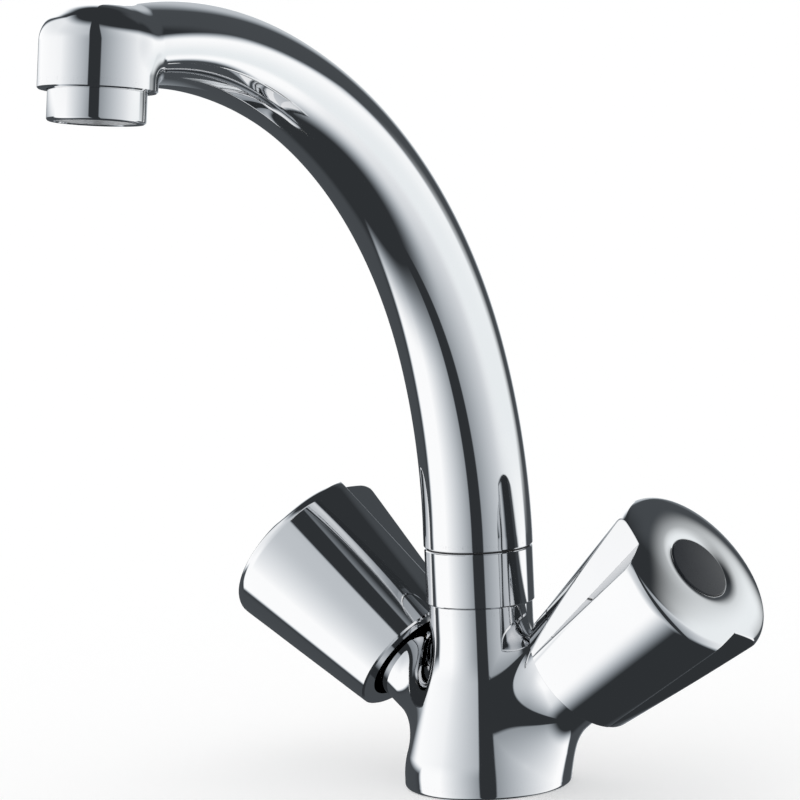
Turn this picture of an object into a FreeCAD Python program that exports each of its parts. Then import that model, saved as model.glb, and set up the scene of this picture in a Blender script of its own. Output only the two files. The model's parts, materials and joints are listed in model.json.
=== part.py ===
import FreeCAD, Part
import Sketcher
import math
import os

from FreeCAD import Vector

# Two handle kitchen faucet. Origin: centre of the base's underside on the deck.
# +Z up, the spout points to -Y, the hot handle stands at -X and the cold handle at +X.
# A handle's own pieces are drawn about +Z from the arm's root, then tilted into the arm.

DRIVING_SIZES = {
    # body casting
    "base_radius": 25.0,
    "base_band": 3.0,
    "base_edge": 1.0,
    "shoulder_radius": 25.0,
    "waist_height": 46.0,
    "waist_arc": 45.0,
    "neck_radius": 15.5,
    "neck_height": 55.5,
    "spigot_radius": 12.6,
    "spigot_length": 10.5,
    "neck_bore_radius": 10.5,
    "neck_bore_floor": 35.0,
    "seam_chamfer": 0.3,
    # arms
    "arm_radius": 13.5,
    "arm_rise": 38.5,
    "arm_root_height": 10.4,
    "arm_set_back": 6.5,
    "arm_end": 46.5,
    "arm_start": 6.0,
    "arm_fillet": 6.0,
    "pocket_radius": 9.0,
    "pocket_floor": 22.0,
    "feed_radius": 3.5,
    "feed_start": 9.0,
    "mix_radius": 3.0,
    "mix_start_offset": 5.0,
    # inlets, stud and gasket under the base
    "inlet_radius": 4.5,
    "inlet_depth": 17.0,
    "inlet_offset": 9.5,
    "stud_radius": 4.0,
    "stud_offset": 12.0,
    "stud_hole_clearance": 0.05,
    "stud_hole_depth": 12.0,
    "stud_length": 72.0,
    "stud_end_gap": 1.0,
    "stud_chamfer": 0.8,
    "gasket_inner_radius": 20.5,
    "gasket_outer_radius": 22.5,
    "gasket_depth": 1.9,
    # collar and spout seat
    "collar_ledge_width": 0.65,
    "collar_height": 16.3,
    "collar_lip": 2.6,
    "collar_lip_radius": 11.0,
    "thread_clearance": 0.05,
    "slip_washer_thickness": 0.5,
    "slip_washer_inset_width": 0.75,
    "seat_gap": 0.05,
    # spout
    "spout_ledge_width": 0.15,
    "spout_middle_radius": 13.25,
    "spout_end_radius": 11.15,
    "spout_rise_height": 3.5,
    "first_bend_radius": 170.9,
    "first_bend_angle": 18.83,
    "second_bend_radius": 142.6,
    "middle_angle": 42.0,
    "second_bend_angle": 76.9,
    "spout_wall": 1.8,
    "spout_floor": 3.0,
    "water_way_inset_length": 27.13,
    "head_port_radius": 5.2,
    "head_port_length": 21.0,
    "tail_clearance": 0.05,
    "tail_gap": 7.0,
    "tail_chamfer": 0.6,
    "tail_root_height": 1.0,
    "tail_bore_radius": 7.2,
    "tail_seal_groove_radius": 8.9,
    "seal_width": 2.4,
    "seal_groove_width": 2.6,
    "seal_clearance": 0.1,
    "seal_squeeze": 0.06,
    "lower_seal_offset": 4.0,
    "upper_seal_offset": 6.5,
    "split_ring_radius": 12.2,
    "split_ring_groove_radius": 9.6,
    "split_ring_width": 2.2,
    "split_ring_gap": 4.0,
    # outlet head
    "head_drop_length": 10.75,
    "head_tilt": 8.26,
    "head_radius": 15.8,
    "head_height": 22.6,
    "head_edge": 8.0,
    "head_crown": 60.0,
    "head_lip_bevel": 0.4,
    "head_lip_depth": 2.2,
    "head_lip_radius": 13.3,
    "head_bore_radius": 12.05,
    "head_bore_depth": 7.5,
    "aerator_radius": 13.05,
    "aerator_length": 8.26,
    "aerator_chamfer": 0.8,
    "aerator_bore_radius": 10.8,
    "aerator_thread_height": 6.0,
    "insert_length": 9.0,
    "insert_floor": 1.6,
    "insert_recess": 1.2,
    "insert_wall": 0.9,
    "insert_hole_radius": 0.55,
    "insert_ring_radius": 3.0,
    "washer_hole_radius": 8.5,
    "washer_thickness": 1.4,
    "washer_clearance": 0.1,
    # valve, along the arm's axis from its root
    "seat_seal_thickness": 2.0,
    "seat_seal_bore": 4.0,
    "disc_radius": 8.3,
    "fixed_disc_thickness": 3.0,
    "rotating_disc_thickness": 3.0,
    "disc_port_radius": 2.4,
    "disc_port_offset": 2.42,
    "disc_notch_offset": 2.16,
    "disc_gap": 0.02,
    "rotating_disc_slack": 0.1,
    "bonnet_clearance": 0.05,
    "bonnet_bore_radius": 8.45,
    "bonnet_window_width": 9.0,
    "bonnet_hex_flats": 21.6,
    "bonnet_hex_height": 4.5,
    "bonnet_neck_radius": 7.5,
    "bonnet_neck_length": 7.0,
    "shaft_radius": 4.95,
    "shaft_clearance": 0.05,
    "foot_radius": 8.0,
    "foot_thickness": 2.8,
    "foot_gap": 0.23,
    "spindle_seal_groove": 3.8,
    "spindle_seal_inset_length": 6.5,
    "spindle_seal_width": 1.9,
    "clip_groove_radius": 4.0,
    "clip_radius": 6.2,
    "clip_thickness": 1.0,
    "clip_gap": 0.1,
    "clip_opening": 4.0,
    "spline_radius": 4.0,
    "spline_lead_length": 0.9,
    "spline_web_thickness": 8.0,
    "screw_hole_radius": 2.0,
    # handles
    "handle_inner_radius": 20.0,
    "handle_lap_length": 6.7,
    "handle_length": 49.2,
    "handle_rim_radius": 27.1,
    "handle_edge": 4.2,
    "cap_crown_height": 0.1,
    "handle_edge_bevel": 0.5,
    "dish_outer_radius": 14.0,
    "dish_land_width": 0.6,
    "dish_depth": 0.9,
    "skirt_bore_radius": 15.6,
    "skirt_gap": 2.2,
    "hub_radius": 8.0,
    "hub_cavity_radius": 16.5,
    "cap_web_thickness": 6.5,
    "socket_clearance": 0.03,
    "socket_end_gap": 1.0,
    "screw_head_radius": 3.9,
    "screw_head_height": 3.5,
    "screw_head_gap": 1.5,
    "screw_socket_flats": 3.0,
    "screw_socket_depth": 2.0,
    "screw_length": 14.0,
    "screw_bore_clearance": 0.3,
    "screw_shank_clearance": 0.05,
    "groove_inner_side": 15.32,
    "groove_inner_depth": 12.86,
    "groove_outer_side": 18.91,
    "groove_outer_depth": 11.82,
    "groove_near_angle": 7.5,
    "groove_far_angle": 43.3,
    "groove_reach": 16.0,
    "groove_overrun_length": 2.0,
    "cold_groove_turn": -66.0,
    "hot_groove_turn": 77.0,
    # buttons
    "button_radius": 10.7,
    "button_recess_clearance": 0.1,
    "button_recess_depth": 2.8,
    "button_edge_depth": 0.2,
    "button_dome": 0.5,
    "button_stem_radius": 3.9,
    "button_stem_length": 5.5,
    # fastening under the deck
    "deck_thickness": 12.0,
    "deck_rubber_thickness": 3.0,
    "deck_washer_thickness": 2.5,
    "deck_washer_radius": 21.0,
    "deck_washer_web_width": 4.0,
    "deck_slot_radius": 4.3,
    "deck_nut_height": 6.5,
    "deck_nut_flats": 13.0,
}

doc = FreeCAD.newDocument("KitchenFaucet")
sheet = doc.addObject("Spreadsheet::Sheet", "Sizes")
for row, (alias, value) in enumerate(DRIVING_SIZES.items(), start=1):
    sheet.set(f"A{row}", alias)
    sheet.set(f"B{row}", str(value))
    sheet.setAlias(f"B{row}", alias)
doc.recompute()


class Size:
    """A length or angle kept as a sheet expression together with its present value."""

    def __init__(self, text, value):
        self.text = text
        self.value = float(value)

    def joined(self, other, sign, value):
        other = as_size(other)
        return Size(f"({self.text} {sign} {other.text})", value)

    def __add__(self, other):
        return self.joined(other, "+", self.value + as_size(other).value)

    def __radd__(self, other):
        return as_size(other) + self

    def __sub__(self, other):
        return self.joined(other, "-", self.value - as_size(other).value)

    def __rsub__(self, other):
        return as_size(other) - self

    def __mul__(self, other):
        return self.joined(other, "*", self.value * as_size(other).value)

    def __rmul__(self, other):
        return as_size(other) * self

    def __truediv__(self, other):
        return self.joined(other, "/", self.value / as_size(other).value)

    def __neg__(self):
        return Size(f"(0 - {self.text})", -self.value)


def as_size(number):
    if isinstance(number, Size):
        return number
    return Size(repr(float(number)), number)


def size(alias):
    return Size(f"Sizes.{alias}", sheet.get(alias))


def cosine(angle):
    angle = as_size(angle)
    return Size(f"cos({angle.text})", math.cos(math.radians(angle.value)))


def sine(angle):
    angle = as_size(angle)
    return Size(f"sin({angle.text})", math.sin(math.radians(angle.value)))


def arcsine(ratio):
    return Size(f"asin({ratio.text})", math.degrees(math.asin(ratio.value)))


def arctangent(ratio):
    return Size(f"atan({ratio.text})", math.degrees(math.atan(ratio.value)))


def root(square):
    return Size(f"sqrt({square.text})", math.sqrt(square.value))


def bind(item, attribute, length):
    """Give an object's property its value and tie it to the sheet."""
    length = as_size(length)
    setattr(item, attribute, length.value)
    item.setExpression(attribute, length.text)


def placement_text(base, turns):
    corner = "; ".join(as_size(part).text for part in base)
    rotations = []
    for axis, angle in turns:
        direction = "; ".join(str(part) for part in axis)
        rotations.append(f"rotation(vector({direction}); {as_size(angle).text})")
    turn = " * ".join(rotations) or "rotation(vector(0; 0; 1); 0)"
    return f"placement(vector({corner}); {turn})"


def place(item, base=(0, 0, 0), turns=(), attribute="Placement"):
    item.setExpression(attribute, placement_text(base, turns))


X_AXIS = (1, 0, 0)
Y_AXIS = (0, 1, 0)
Z_AXIS = (0, 0, 1)

nodes = []


def new_piece(name, base=(0, 0, 0), turns=()):
    """A body whose label names its node and its file."""
    body = doc.addObject("PartDesign::Body", name)
    body.Label = name
    place(body, base, turns)
    nodes.append(body)
    return body


def origin_plane(body, role):
    return next(f for f in body.Origin.OriginFeatures if f.Role == role)


def new_sketch(body, name, role="XZ_Plane", base=(0, 0, 0), turns=()):
    sketch = body.newObject("Sketcher::SketchObject", name)
    sketch.AttachmentSupport = (origin_plane(body, role), [""])
    sketch.MapMode = "FlatFace"
    place(sketch, base, turns, "AttachmentOffset")
    return sketch


def fix_point(sketch, name, edge, end, across, up):
    """Hold one end of an edge at its two coordinates."""
    for kind, length in (("DistanceX", across), ("DistanceY", up)):
        length = as_size(length)
        index = sketch.addConstraint(Sketcher.Constraint(kind, -1, 1, edge, end, length.value))
        label = f"{name}{kind[-1]}"
        sketch.renameConstraint(index, label)
        sketch.setExpression(f"Constraints.{label}", length.text)


def arc_between(start, end, radius):
    """Arc of a signed radius from start to end, its centre to the left of a positive one."""
    chord = end - start
    half = chord.Length / 2
    height = math.sqrt(max(radius * radius - half * half, 0.0))
    left = Vector(-chord.y, chord.x, 0).normalize()
    centre = (start + end) * 0.5 + left * math.copysign(height, radius)
    circle = Part.Circle(centre, Vector(0, 0, 1), abs(radius))
    first, last = (start, end) if radius > 0 else (end, start)
    angles = [math.atan2(p.y - centre.y, p.x - centre.x) for p in (first, last)]
    if angles[1] < angles[0]:
        angles[1] += 2 * math.pi
    return Part.ArcOfCircle(circle, angles[0], angles[1])


def draw_outline(sketch, corners):
    """Closed outline: each corner is (across, up) or (across, up, radius of the arc that follows)."""
    count = len(corners)
    points = [Vector(as_size(c[0]).value, as_size(c[1]).value, 0) for c in corners]
    ends = []
    for i, corner in enumerate(corners):
        start, end = points[i], points[(i + 1) % count]
        if len(corner) == 3:
            radius = as_size(corner[2])
            edge = sketch.addGeometry(arc_between(start, end, radius.value))
            length = radius if radius.value > 0 else -radius
            index = sketch.addConstraint(Sketcher.Constraint("Radius", edge, length.value))
            sketch.renameConstraint(index, f"Arc{i}")
            sketch.setExpression(f"Constraints.Arc{i}", length.text)
            ends.append((edge, 1, 2) if radius.value > 0 else (edge, 2, 1))
        else:
            edge = sketch.addGeometry(Part.LineSegment(start, end))
            ends.append((edge, 1, 2))
    for i, (edge, start, _) in enumerate(ends):
        before, _, before_end = ends[i - 1]
        sketch.addConstraint(Sketcher.Constraint("Coincident", before, before_end, edge, start))
        fix_point(sketch, f"P{i}", edge, start, corners[i][0], corners[i][1])


def turned(body, name, corners, cut=False):
    """Revolve an outline of (radius, height) corners about the body's own axis."""
    sketch = new_sketch(body, f"{name}Outline")
    draw_outline(sketch, corners)
    kind = "PartDesign::Groove" if cut else "PartDesign::Revolution"
    feature = body.newObject(kind, name)
    feature.Profile = sketch
    feature.ReferenceAxis = (sketch, ["V_Axis"])
    feature.Angle = 360
    sketch.Visibility = False
    doc.recompute()
    return feature


def tube(inner, outer, bottom, top):
    """Outline of a plain ring or disc."""
    return [(inner, bottom), (outer, bottom), (outer, top), (inner, top)]


def drilled(body, name, radius, length, base=(0, 0, 0), turns=()):
    hole = body.newObject("PartDesign::SubtractiveCylinder", name)
    bind(hole, "Radius", radius)
    bind(hole, "Height", length)
    place(hole, base, turns)
    doc.recompute()
    return hole


def added_cylinder(body, name, radius, length, base=(0, 0, 0), turns=()):
    rod = body.newObject("PartDesign::AdditiveCylinder", name)
    bind(rod, "Radius", radius)
    bind(rod, "Height", length)
    place(rod, base, turns)
    doc.recompute()
    return rod


def cut_box(body, name, extents, corner, turns=()):
    box = body.newObject("PartDesign::SubtractiveBox", name)
    for attribute, length in zip(("Length", "Width", "Height"), extents):
        bind(box, attribute, length)
    place(box, corner, turns)
    doc.recompute()
    return box


def extruded(body, name, corners, bottom, thickness, cut=False):
    """Pad or pocket of an outline on the body's XY plane, upward from a given height."""
    sketch = new_sketch(body, f"{name}Outline", "XY_Plane", (0, 0, bottom))
    draw_outline(sketch, corners)
    feature = body.newObject("PartDesign::Pocket" if cut else "PartDesign::Pad", name)
    feature.Profile = sketch
    bind(feature, "Length", thickness)
    feature.Reversed = cut
    sketch.Visibility = False
    doc.recompute()
    return feature


def hexagon(flats):
    """Corners of a regular hexagon, flats to +Y and -Y."""
    reach = flats / root(as_size(3))
    return [(reach * cosine(60 * i), reach * sine(60 * i)) for i in range(6)]


# ---- places that several pieces share ----

arm_root = (0, size("arm_set_back"), size("arm_root_height"))
arm_tilt = 90 - size("arm_rise")
SIDES = {"hot": -1, "cold": 1}


def arm_turns(sign):
    return [(Y_AXIS, arm_tilt * sign)]


def spigot_top():
    return size("neck_height") + size("spigot_length")


def collar_radius():
    return size("neck_radius") + size("collar_ledge_width")


def collar_top():
    return size("neck_height") + size("collar_height")


def collar_lip_bottom():
    return collar_top() - size("collar_lip")


def clip_start():
    return (size("arm_end") + size("bonnet_hex_height") + size("bonnet_neck_length")
            + size("clip_gap"))


def clip_end():
    return clip_start() + size("clip_thickness")


def skirt_end():
    return clip_end() + size("skirt_gap")


def handle_start():
    return size("arm_end") - size("handle_lap_length")


def handle_rim():
    return handle_start() + size("handle_length")


def handle_top():
    return handle_rim() + size("handle_edge") + size("cap_crown_height")


def recess_floor():
    return handle_top() - size("button_recess_depth")


def screw_head_top():
    return recess_floor() - size("button_stem_length") - size("screw_head_gap")


def screw_seat():
    return screw_head_top() - size("screw_head_height")


def spline_end():
    return screw_seat() - size("spline_web_thickness")


def on_arm(sign, along):
    """Point on an arm's axis, a given way out from its root."""
    rise = size("arm_rise")
    return (along * cosine(rise) * sign, size("arm_set_back"),
            size("arm_root_height") + along * sine(rise))


# ---- body casting ----

def cone_slope():
    """Lean of the cone that runs tangent from the shoulder's arc into the waist's arc."""
    arcs = size("shoulder_radius") + size("waist_arc")
    rise = size("waist_height") - size("base_band")
    spare = size("base_radius") - size("neck_radius") - arcs
    return arcsine(arcs / root(rise * rise + spare * spare)) + arctangent(spare / rise)


def body_outline():
    """Base band, round shoulder, cone, waist, neck and the threaded spigot."""
    slope = cone_slope()
    bend, waist = size("shoulder_radius"), size("waist_arc")
    shoulder_r = size("base_radius") - bend * (1 - cosine(slope))
    shoulder_z = size("base_band") + bend * sine(slope)
    cone_top_r = size("neck_radius") + waist * (1 - cosine(slope))
    cone_top_z = size("waist_height") - waist * sine(slope)
    edge = size("base_edge")
    return [(0, 0),
            (size("base_radius") - edge, 0, edge),
            (size("base_radius"), edge),
            (size("base_radius"), size("base_band"), bend),
            (shoulder_r, shoulder_z),
            (cone_top_r, cone_top_z, -waist),
            (size("neck_radius"), size("waist_height")),
            (size("neck_radius"), size("neck_height") - size("seam_chamfer")),
            (size("neck_radius") - size("seam_chamfer"), size("neck_height")),
            (size("spigot_radius"), size("neck_height")),
            (size("spigot_radius"), spigot_top()),
            (0, spigot_top())]


def arm_junctions(shape):
    """Names of the edges where the two arms leave the casting's turned faces."""
    def slanted(face):
        surface = face.Surface
        return isinstance(surface, Part.Cylinder) and abs(surface.Axis.z) < 0.99

    names = []
    for i, edge in enumerate(shape.Edges, start=1):
        owners = [face for face in shape.Faces if any(edge.isSame(e) for e in face.Edges)]
        arms = [face for face in owners if slanted(face)]
        turned_faces = [face for face in owners
                        if not slanted(face) and not isinstance(face.Surface, Part.Plane)]
        if arms and turned_faces:
            names.append(f"Edge{i}")
    return names


def build_body():
    body = new_piece("body")
    turned(body, "Casting", body_outline())
    for side, sign in SIDES.items():
        added_cylinder(body, f"{side}Arm", size("arm_radius"), size("arm_end") - size("arm_start"),
                       on_arm(sign, size("arm_start")), arm_turns(sign))
    fillet = body.newObject("PartDesign::Fillet", "ArmFillets")
    previous = body.Group[-2]
    fillet.Base = (previous, arm_junctions(previous.Shape))
    bind(fillet, "Radius", size("arm_fillet"))
    doc.recompute()
    drilled(body, "SpoutBore", size("neck_bore_radius"),
            spigot_top() - size("neck_bore_floor"), (0, 0, size("neck_bore_floor")))
    for side, sign in SIDES.items():
        turns = arm_turns(sign)
        drilled(body, f"{side}Pocket", size("pocket_radius"),
                size("arm_end") - size("pocket_floor"), on_arm(sign, size("pocket_floor")), turns)
        drilled(body, f"{side}Feed", size("feed_radius"),
                size("pocket_floor") - size("feed_start"), on_arm(sign, size("feed_start")), turns)
        drilled(body, f"{side}Inlet", size("inlet_radius"), size("inlet_depth"),
                (size("inlet_offset") * sign, size("arm_set_back"), 0))
        mix_passage(body, side, sign)
    turned(body, "GasketGroove", tube(size("gasket_inner_radius"), size("gasket_outer_radius"),
                                      0, size("gasket_depth")), cut=True)
    drilled(body, "StudHole", size("stud_radius") + size("stud_hole_clearance"),
            size("stud_hole_depth"), (0, -size("stud_offset"), 0))
    return body


def mix_passage(body, side, sign):
    """Slanted way from a valve pocket's side up into the spout's bore."""
    target = on_arm(sign, size("pocket_floor") + size("mix_start_offset"))
    x, y, z = (as_size(part).value for part in target)
    start_height = size("neck_bore_floor") + size("mix_radius")
    flat = math.hypot(x, y)
    length = math.sqrt(flat * flat + (z - start_height.value) ** 2)
    pitch = math.degrees(math.acos((z - start_height.value) / length))
    yaw = math.degrees(math.atan2(y, x))
    drilled(body, f"{side}Mix", size("mix_radius"), length, (0, 0, start_height),
            [(Z_AXIS, yaw), (Y_AXIS, pitch)])


# ---- spout and what holds it ----

def spout_seat():
    return collar_top() + size("slip_washer_thickness") + 2 * size("seat_gap")


def spout_path(floor=0, bend=None):
    """Stations along the centre line in the plane x = 0, each (y, z, turn from upright)."""
    first = size("first_bend_angle")
    bend = bend or size("second_bend_angle")
    start_z = spout_seat() + size("spout_rise_height")
    first_r, second_r = size("first_bend_radius"), size("second_bend_radius")
    centre_y = -first_r + (first_r - second_r) * cosine(first)
    centre_z = start_z + (first_r - second_r) * sine(first)

    def at(angle):
        return (centre_y + second_r * cosine(angle), centre_z + second_r * sine(angle), angle)

    upright = as_size(0)
    return {"seat": (upright, spout_seat() + floor, upright), "start": (upright, start_z, upright),
            "first_end": at(first), "middle": at(first + size("middle_angle")),
            "end": at(first + bend)}


def draw_spine(sketch, path):
    """Straight rise and two tangent arcs, held by the coordinates of their ends and their radii."""
    stops = [path[key][:2] for key in ("seat", "start", "first_end", "end")]
    points = [Vector(p[0].value, p[1].value, 0) for p in stops]
    bends = [None, size("first_bend_radius"), size("second_bend_radius")]
    edges = []
    for i, bend in enumerate(bends):
        if bend is None:
            edge = sketch.addGeometry(Part.LineSegment(points[i], points[i + 1]))
        else:
            edge = sketch.addGeometry(arc_between(points[i], points[i + 1], bend.value))
            index = sketch.addConstraint(Sketcher.Constraint("Radius", edge, bend.value))
            sketch.renameConstraint(index, f"Bend{i}")
            sketch.setExpression(f"Constraints.Bend{i}", bend.text)
        if edges:
            sketch.addConstraint(Sketcher.Constraint("Coincident", edges[-1], 2, edge, 1))
        fix_point(sketch, f"P{i}", edge, 1, *stops[i])
        edges.append(edge)
    fix_point(sketch, "PEnd", edges[-1], 2, *stops[-1])


def spout_section(body, name, station, radius):
    """Circle square to the centre line at one station."""
    y, z, angle = station
    sketch = new_sketch(body, name, "XY_Plane", (0, y, z), [(X_AXIS, angle)])
    circle = sketch.addGeometry(Part.Circle(Vector(0, 0, 0), Vector(0, 0, 1), as_size(radius).value))
    sketch.addConstraint(Sketcher.Constraint("Coincident", circle, 3, -1, 1))
    index = sketch.addConstraint(Sketcher.Constraint("Radius", circle, as_size(radius).value))
    sketch.renameConstraint(index, "Bore")
    sketch.setExpression("Constraints.Bore", as_size(radius).text)
    sketch.Visibility = False
    return sketch


def spout_pipe(body, name, path, radii, cut=False):
    """Tapered pipe along the centre line through circles at its seat, middle and end."""
    spine = new_sketch(body, f"{name}Spine", "YZ_Plane")
    draw_spine(spine, path)
    sections = [spout_section(body, f"{name}{key.title()}", path[key], radius)
                for key, radius in zip(("seat", "middle", "end"), radii)]
    doc.recompute()
    pipe = body.newObject("PartDesign::SubtractivePipe" if cut else "PartDesign::AdditivePipe", name)
    pipe.Profile = sections[0]
    pipe.Spine = (spine, ["Edge1", "Edge2", "Edge3"])
    pipe.Sections = [(section, [""]) for section in sections[1:]]
    pipe.Transformation = "Multisection"
    spine.Visibility = False
    doc.recompute()
    return pipe


def head_lip():
    """Centre of the head's lip, straight down the head's axis from the centre line's end."""
    y, z, _ = spout_path()["end"]
    drop, tilt = size("head_drop_length"), size("head_tilt")
    return y - drop * sine(tilt), z - drop * cosine(tilt)


head_base = (0, *head_lip())
head_turns = [(X_AXIS, -size("head_tilt"))]


def head_outline():
    """Drop head about its own axis, from its lip at height zero up to a crowned top."""
    radius, edge, top = size("head_radius"), size("head_edge"), size("head_height")
    crown, bevel = size("head_crown"), size("head_lip_bevel")
    lean = (radius - edge) / (crown - edge)
    upright = root(1 - lean * lean)
    return [(0, 0),
            (radius - bevel, 0),
            (radius, bevel),
            (radius, top - crown + (crown - edge) * upright, edge),
            (crown * lean, top - crown * (1 - upright), crown),
            (0, top)]


def tail_bottom():
    return size("neck_bore_floor") + size("tail_gap")


def lower_seal_start():
    return tail_bottom() + size("lower_seal_offset")


def upper_seal_start():
    return spigot_top() - size("upper_seal_offset")


def tail_outline():
    """Tail that turns in the neck, with two seal grooves and the split ring's groove."""
    outer = size("neck_bore_radius") - size("tail_clearance")
    groove = size("tail_seal_groove_radius")
    lower, upper = lower_seal_start(), upper_seal_start()
    width, chamfer = size("seal_groove_width"), size("tail_chamfer")
    ring_top = collar_lip_bottom() - size("seat_gap")
    ring_bottom = ring_top - size("split_ring_width") - 2 * size("seat_gap")
    root_top = spout_seat() + size("tail_root_height")
    return [(0, tail_bottom()),
            (outer - chamfer, tail_bottom()),
            (outer, tail_bottom() + chamfer),
            (outer, lower), (groove, lower), (groove, lower + width), (outer, lower + width),
            (outer, upper), (groove, upper), (groove, upper + width), (outer, upper + width),
            (outer, ring_bottom), (size("split_ring_groove_radius"), ring_bottom),
            (size("split_ring_groove_radius"), ring_top), (outer, ring_top),
            (outer, root_top), (0, root_top)]


def build_spout():
    body = new_piece("spout")
    root_r, middle_r = collar_radius() + size("spout_ledge_width"), size("spout_middle_radius")
    end_r, wall = size("spout_end_radius"), size("spout_wall")
    spout_pipe(body, "Tube", spout_path(), [root_r, middle_r, end_r])
    revolve_on(body, head_sketch(body, "HeadOutline", head_outline()), "Head")
    turned(body, "Tail", tail_outline())
    middle, full_bend = size("middle_angle"), size("second_bend_angle")
    inset = size("water_way_inset_length") / size("second_bend_radius") * math.degrees(1)
    bend = full_bend - inset
    taper = (bend - middle) / (full_bend - middle)
    bore_end = middle_r + (end_r - middle_r) * taper - wall
    water_way = spout_path(size("spout_floor"), bend)
    spout_pipe(body, "WaterWay", water_way, [root_r - wall, middle_r - wall, bore_end], cut=True)
    y, z, angle = water_way["end"]
    drilled(body, "HeadPort", size("head_port_radius"), size("head_port_length"),
            (0, y, z), [(X_AXIS, angle)])
    revolve_on(body, head_sketch(body, "HollowOutline", head_hollow()), "Hollow", cut=True)
    drilled(body, "TailBore", size("tail_bore_radius"),
            spout_seat() - tail_bottom() + size("spout_rise_height"), (0, 0, tail_bottom()))


def head_sketch(body, name, corners):
    y, z = head_lip()
    sketch = new_sketch(body, name, "XZ_Plane", (0, z, -y), head_turns)
    draw_outline(sketch, corners)
    return sketch


def revolve_on(body, sketch, name, cut=False):
    feature = body.newObject("PartDesign::Groove" if cut else "PartDesign::Revolution", name)
    feature.Profile = sketch
    feature.ReferenceAxis = (sketch, ["V_Axis"])
    feature.Angle = 360
    sketch.Visibility = False
    doc.recompute()
    return feature


def head_hollow():
    """Lip recess, threaded bore, washer seat and the chamber that meets the tube."""
    recess, thread = size("head_lip_depth"), size("head_bore_depth")
    chamber = size("head_height") - 2 * size("spout_wall")
    return [(0, -recess),
            (size("head_lip_radius"), -recess), (size("head_lip_radius"), recess),
            (size("head_bore_radius"), recess), (size("head_bore_radius"), thread),
            (size("washer_hole_radius"), thread),
            (size("washer_hole_radius"), chamber), (0, chamber)]


def build_spout_holders():
    collar = new_piece("collar_nut")
    bore = size("spigot_radius") + size("thread_clearance")
    outer, bottom, top = collar_radius(), size("neck_height"), collar_top()
    chamfer = size("seam_chamfer")
    turned(collar, "Nut", [(bore, bottom), (outer - chamfer, bottom), (outer, bottom + chamfer),
                           (outer, top - chamfer), (outer - chamfer, top),
                           (size("collar_lip_radius"), top),
                           (size("collar_lip_radius"), collar_lip_bottom()),
                           (bore, collar_lip_bottom())])
    washer = new_piece("slip_washer", (0, 0, top + size("seat_gap")))
    turned(washer, "Washer", tube(size("neck_bore_radius") + size("tail_clearance"),
                                  outer - size("slip_washer_inset_width"),
                                  0, size("slip_washer_thickness")))
    ring_top = collar_lip_bottom() - 2 * size("seat_gap")
    ring = new_piece("split_ring", (0, 0, ring_top - size("split_ring_width")))
    slack = size("seal_clearance")
    ring_outer, gap = size("split_ring_radius"), size("split_ring_gap")
    turned(ring, "Ring", tube(size("split_ring_groove_radius") + slack, ring_outer,
                              0, size("split_ring_width")))
    cut_box(ring, "Gap", (gap, 2 * ring_outer, size("split_ring_width")), (-gap / 2, 0, 0))
    for name, start in (("lower", lower_seal_start()), ("upper", upper_seal_start())):
        seal = new_piece(f"spout_oring_{name}", (0, 0, start + slack))
        turned(seal, "Seal", tube(size("tail_seal_groove_radius") + slack,
                                  size("neck_bore_radius") - size("seal_squeeze"),
                                  0, size("seal_width")))


def build_aerator():
    drop, bore = size("aerator_length"), size("aerator_bore_radius")
    outer, thread = size("aerator_radius"), size("head_bore_radius") - size("thread_clearance")
    chamfer = size("aerator_chamfer")
    ring = new_piece("aerator_ring", head_base, head_turns)
    ring_top = size("aerator_thread_height")
    recess = size("head_lip_depth") - size("seat_gap")
    turned(ring, "Ring", [(bore, -drop), (outer - chamfer, -drop), (outer, -drop + chamfer),
                          (outer, recess), (thread, recess), (thread, ring_top),
                          (bore, ring_top)])
    insert = new_piece("aerator_insert", head_base, head_turns)
    floor_z = -drop + size("insert_recess")
    side = bore - size("thread_clearance")
    wall = size("insert_wall")
    turned(insert, "Cup", [(0, floor_z), (side, floor_z), (side, floor_z + size("insert_length")),
                           (side - wall, floor_z + size("insert_length")),
                           (side - wall, floor_z + size("insert_floor")),
                           (0, floor_z + size("insert_floor"))])
    holes = 8
    drilled(insert, "Jet", size("insert_hole_radius"), size("insert_floor"),
            (size("insert_ring_radius"), 0, floor_z))
    pattern = insert.newObject("PartDesign::PolarPattern", "Jets")
    pattern.Originals = [insert.Group[-2]]
    pattern.Axis = (origin_plane(insert, "Z_Axis"), [""])
    pattern.Angle = 360
    pattern.Occurrences = holes
    insert.Tip = pattern
    doc.recompute()
    washer_top = size("head_bore_depth")
    washer = new_piece("aerator_washer", head_base, head_turns)
    turned(washer, "Washer", tube(size("washer_hole_radius"),
                                  size("head_bore_radius") - size("washer_clearance"),
                                  washer_top - size("washer_thickness"),
                                  washer_top - size("seat_gap")))


# ---- one valve and its handle ----

def seat_top():
    return size("pocket_floor") + size("seat_seal_thickness")


def fixed_disc_top():
    return seat_top() + size("fixed_disc_thickness")


def rotating_disc_top():
    return fixed_disc_top() + size("disc_gap") + size("rotating_disc_thickness")


def foot_top():
    return rotating_disc_top() + size("seat_gap") + size("foot_thickness")


def chamber_end():
    return foot_top() + size("foot_gap")


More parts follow.
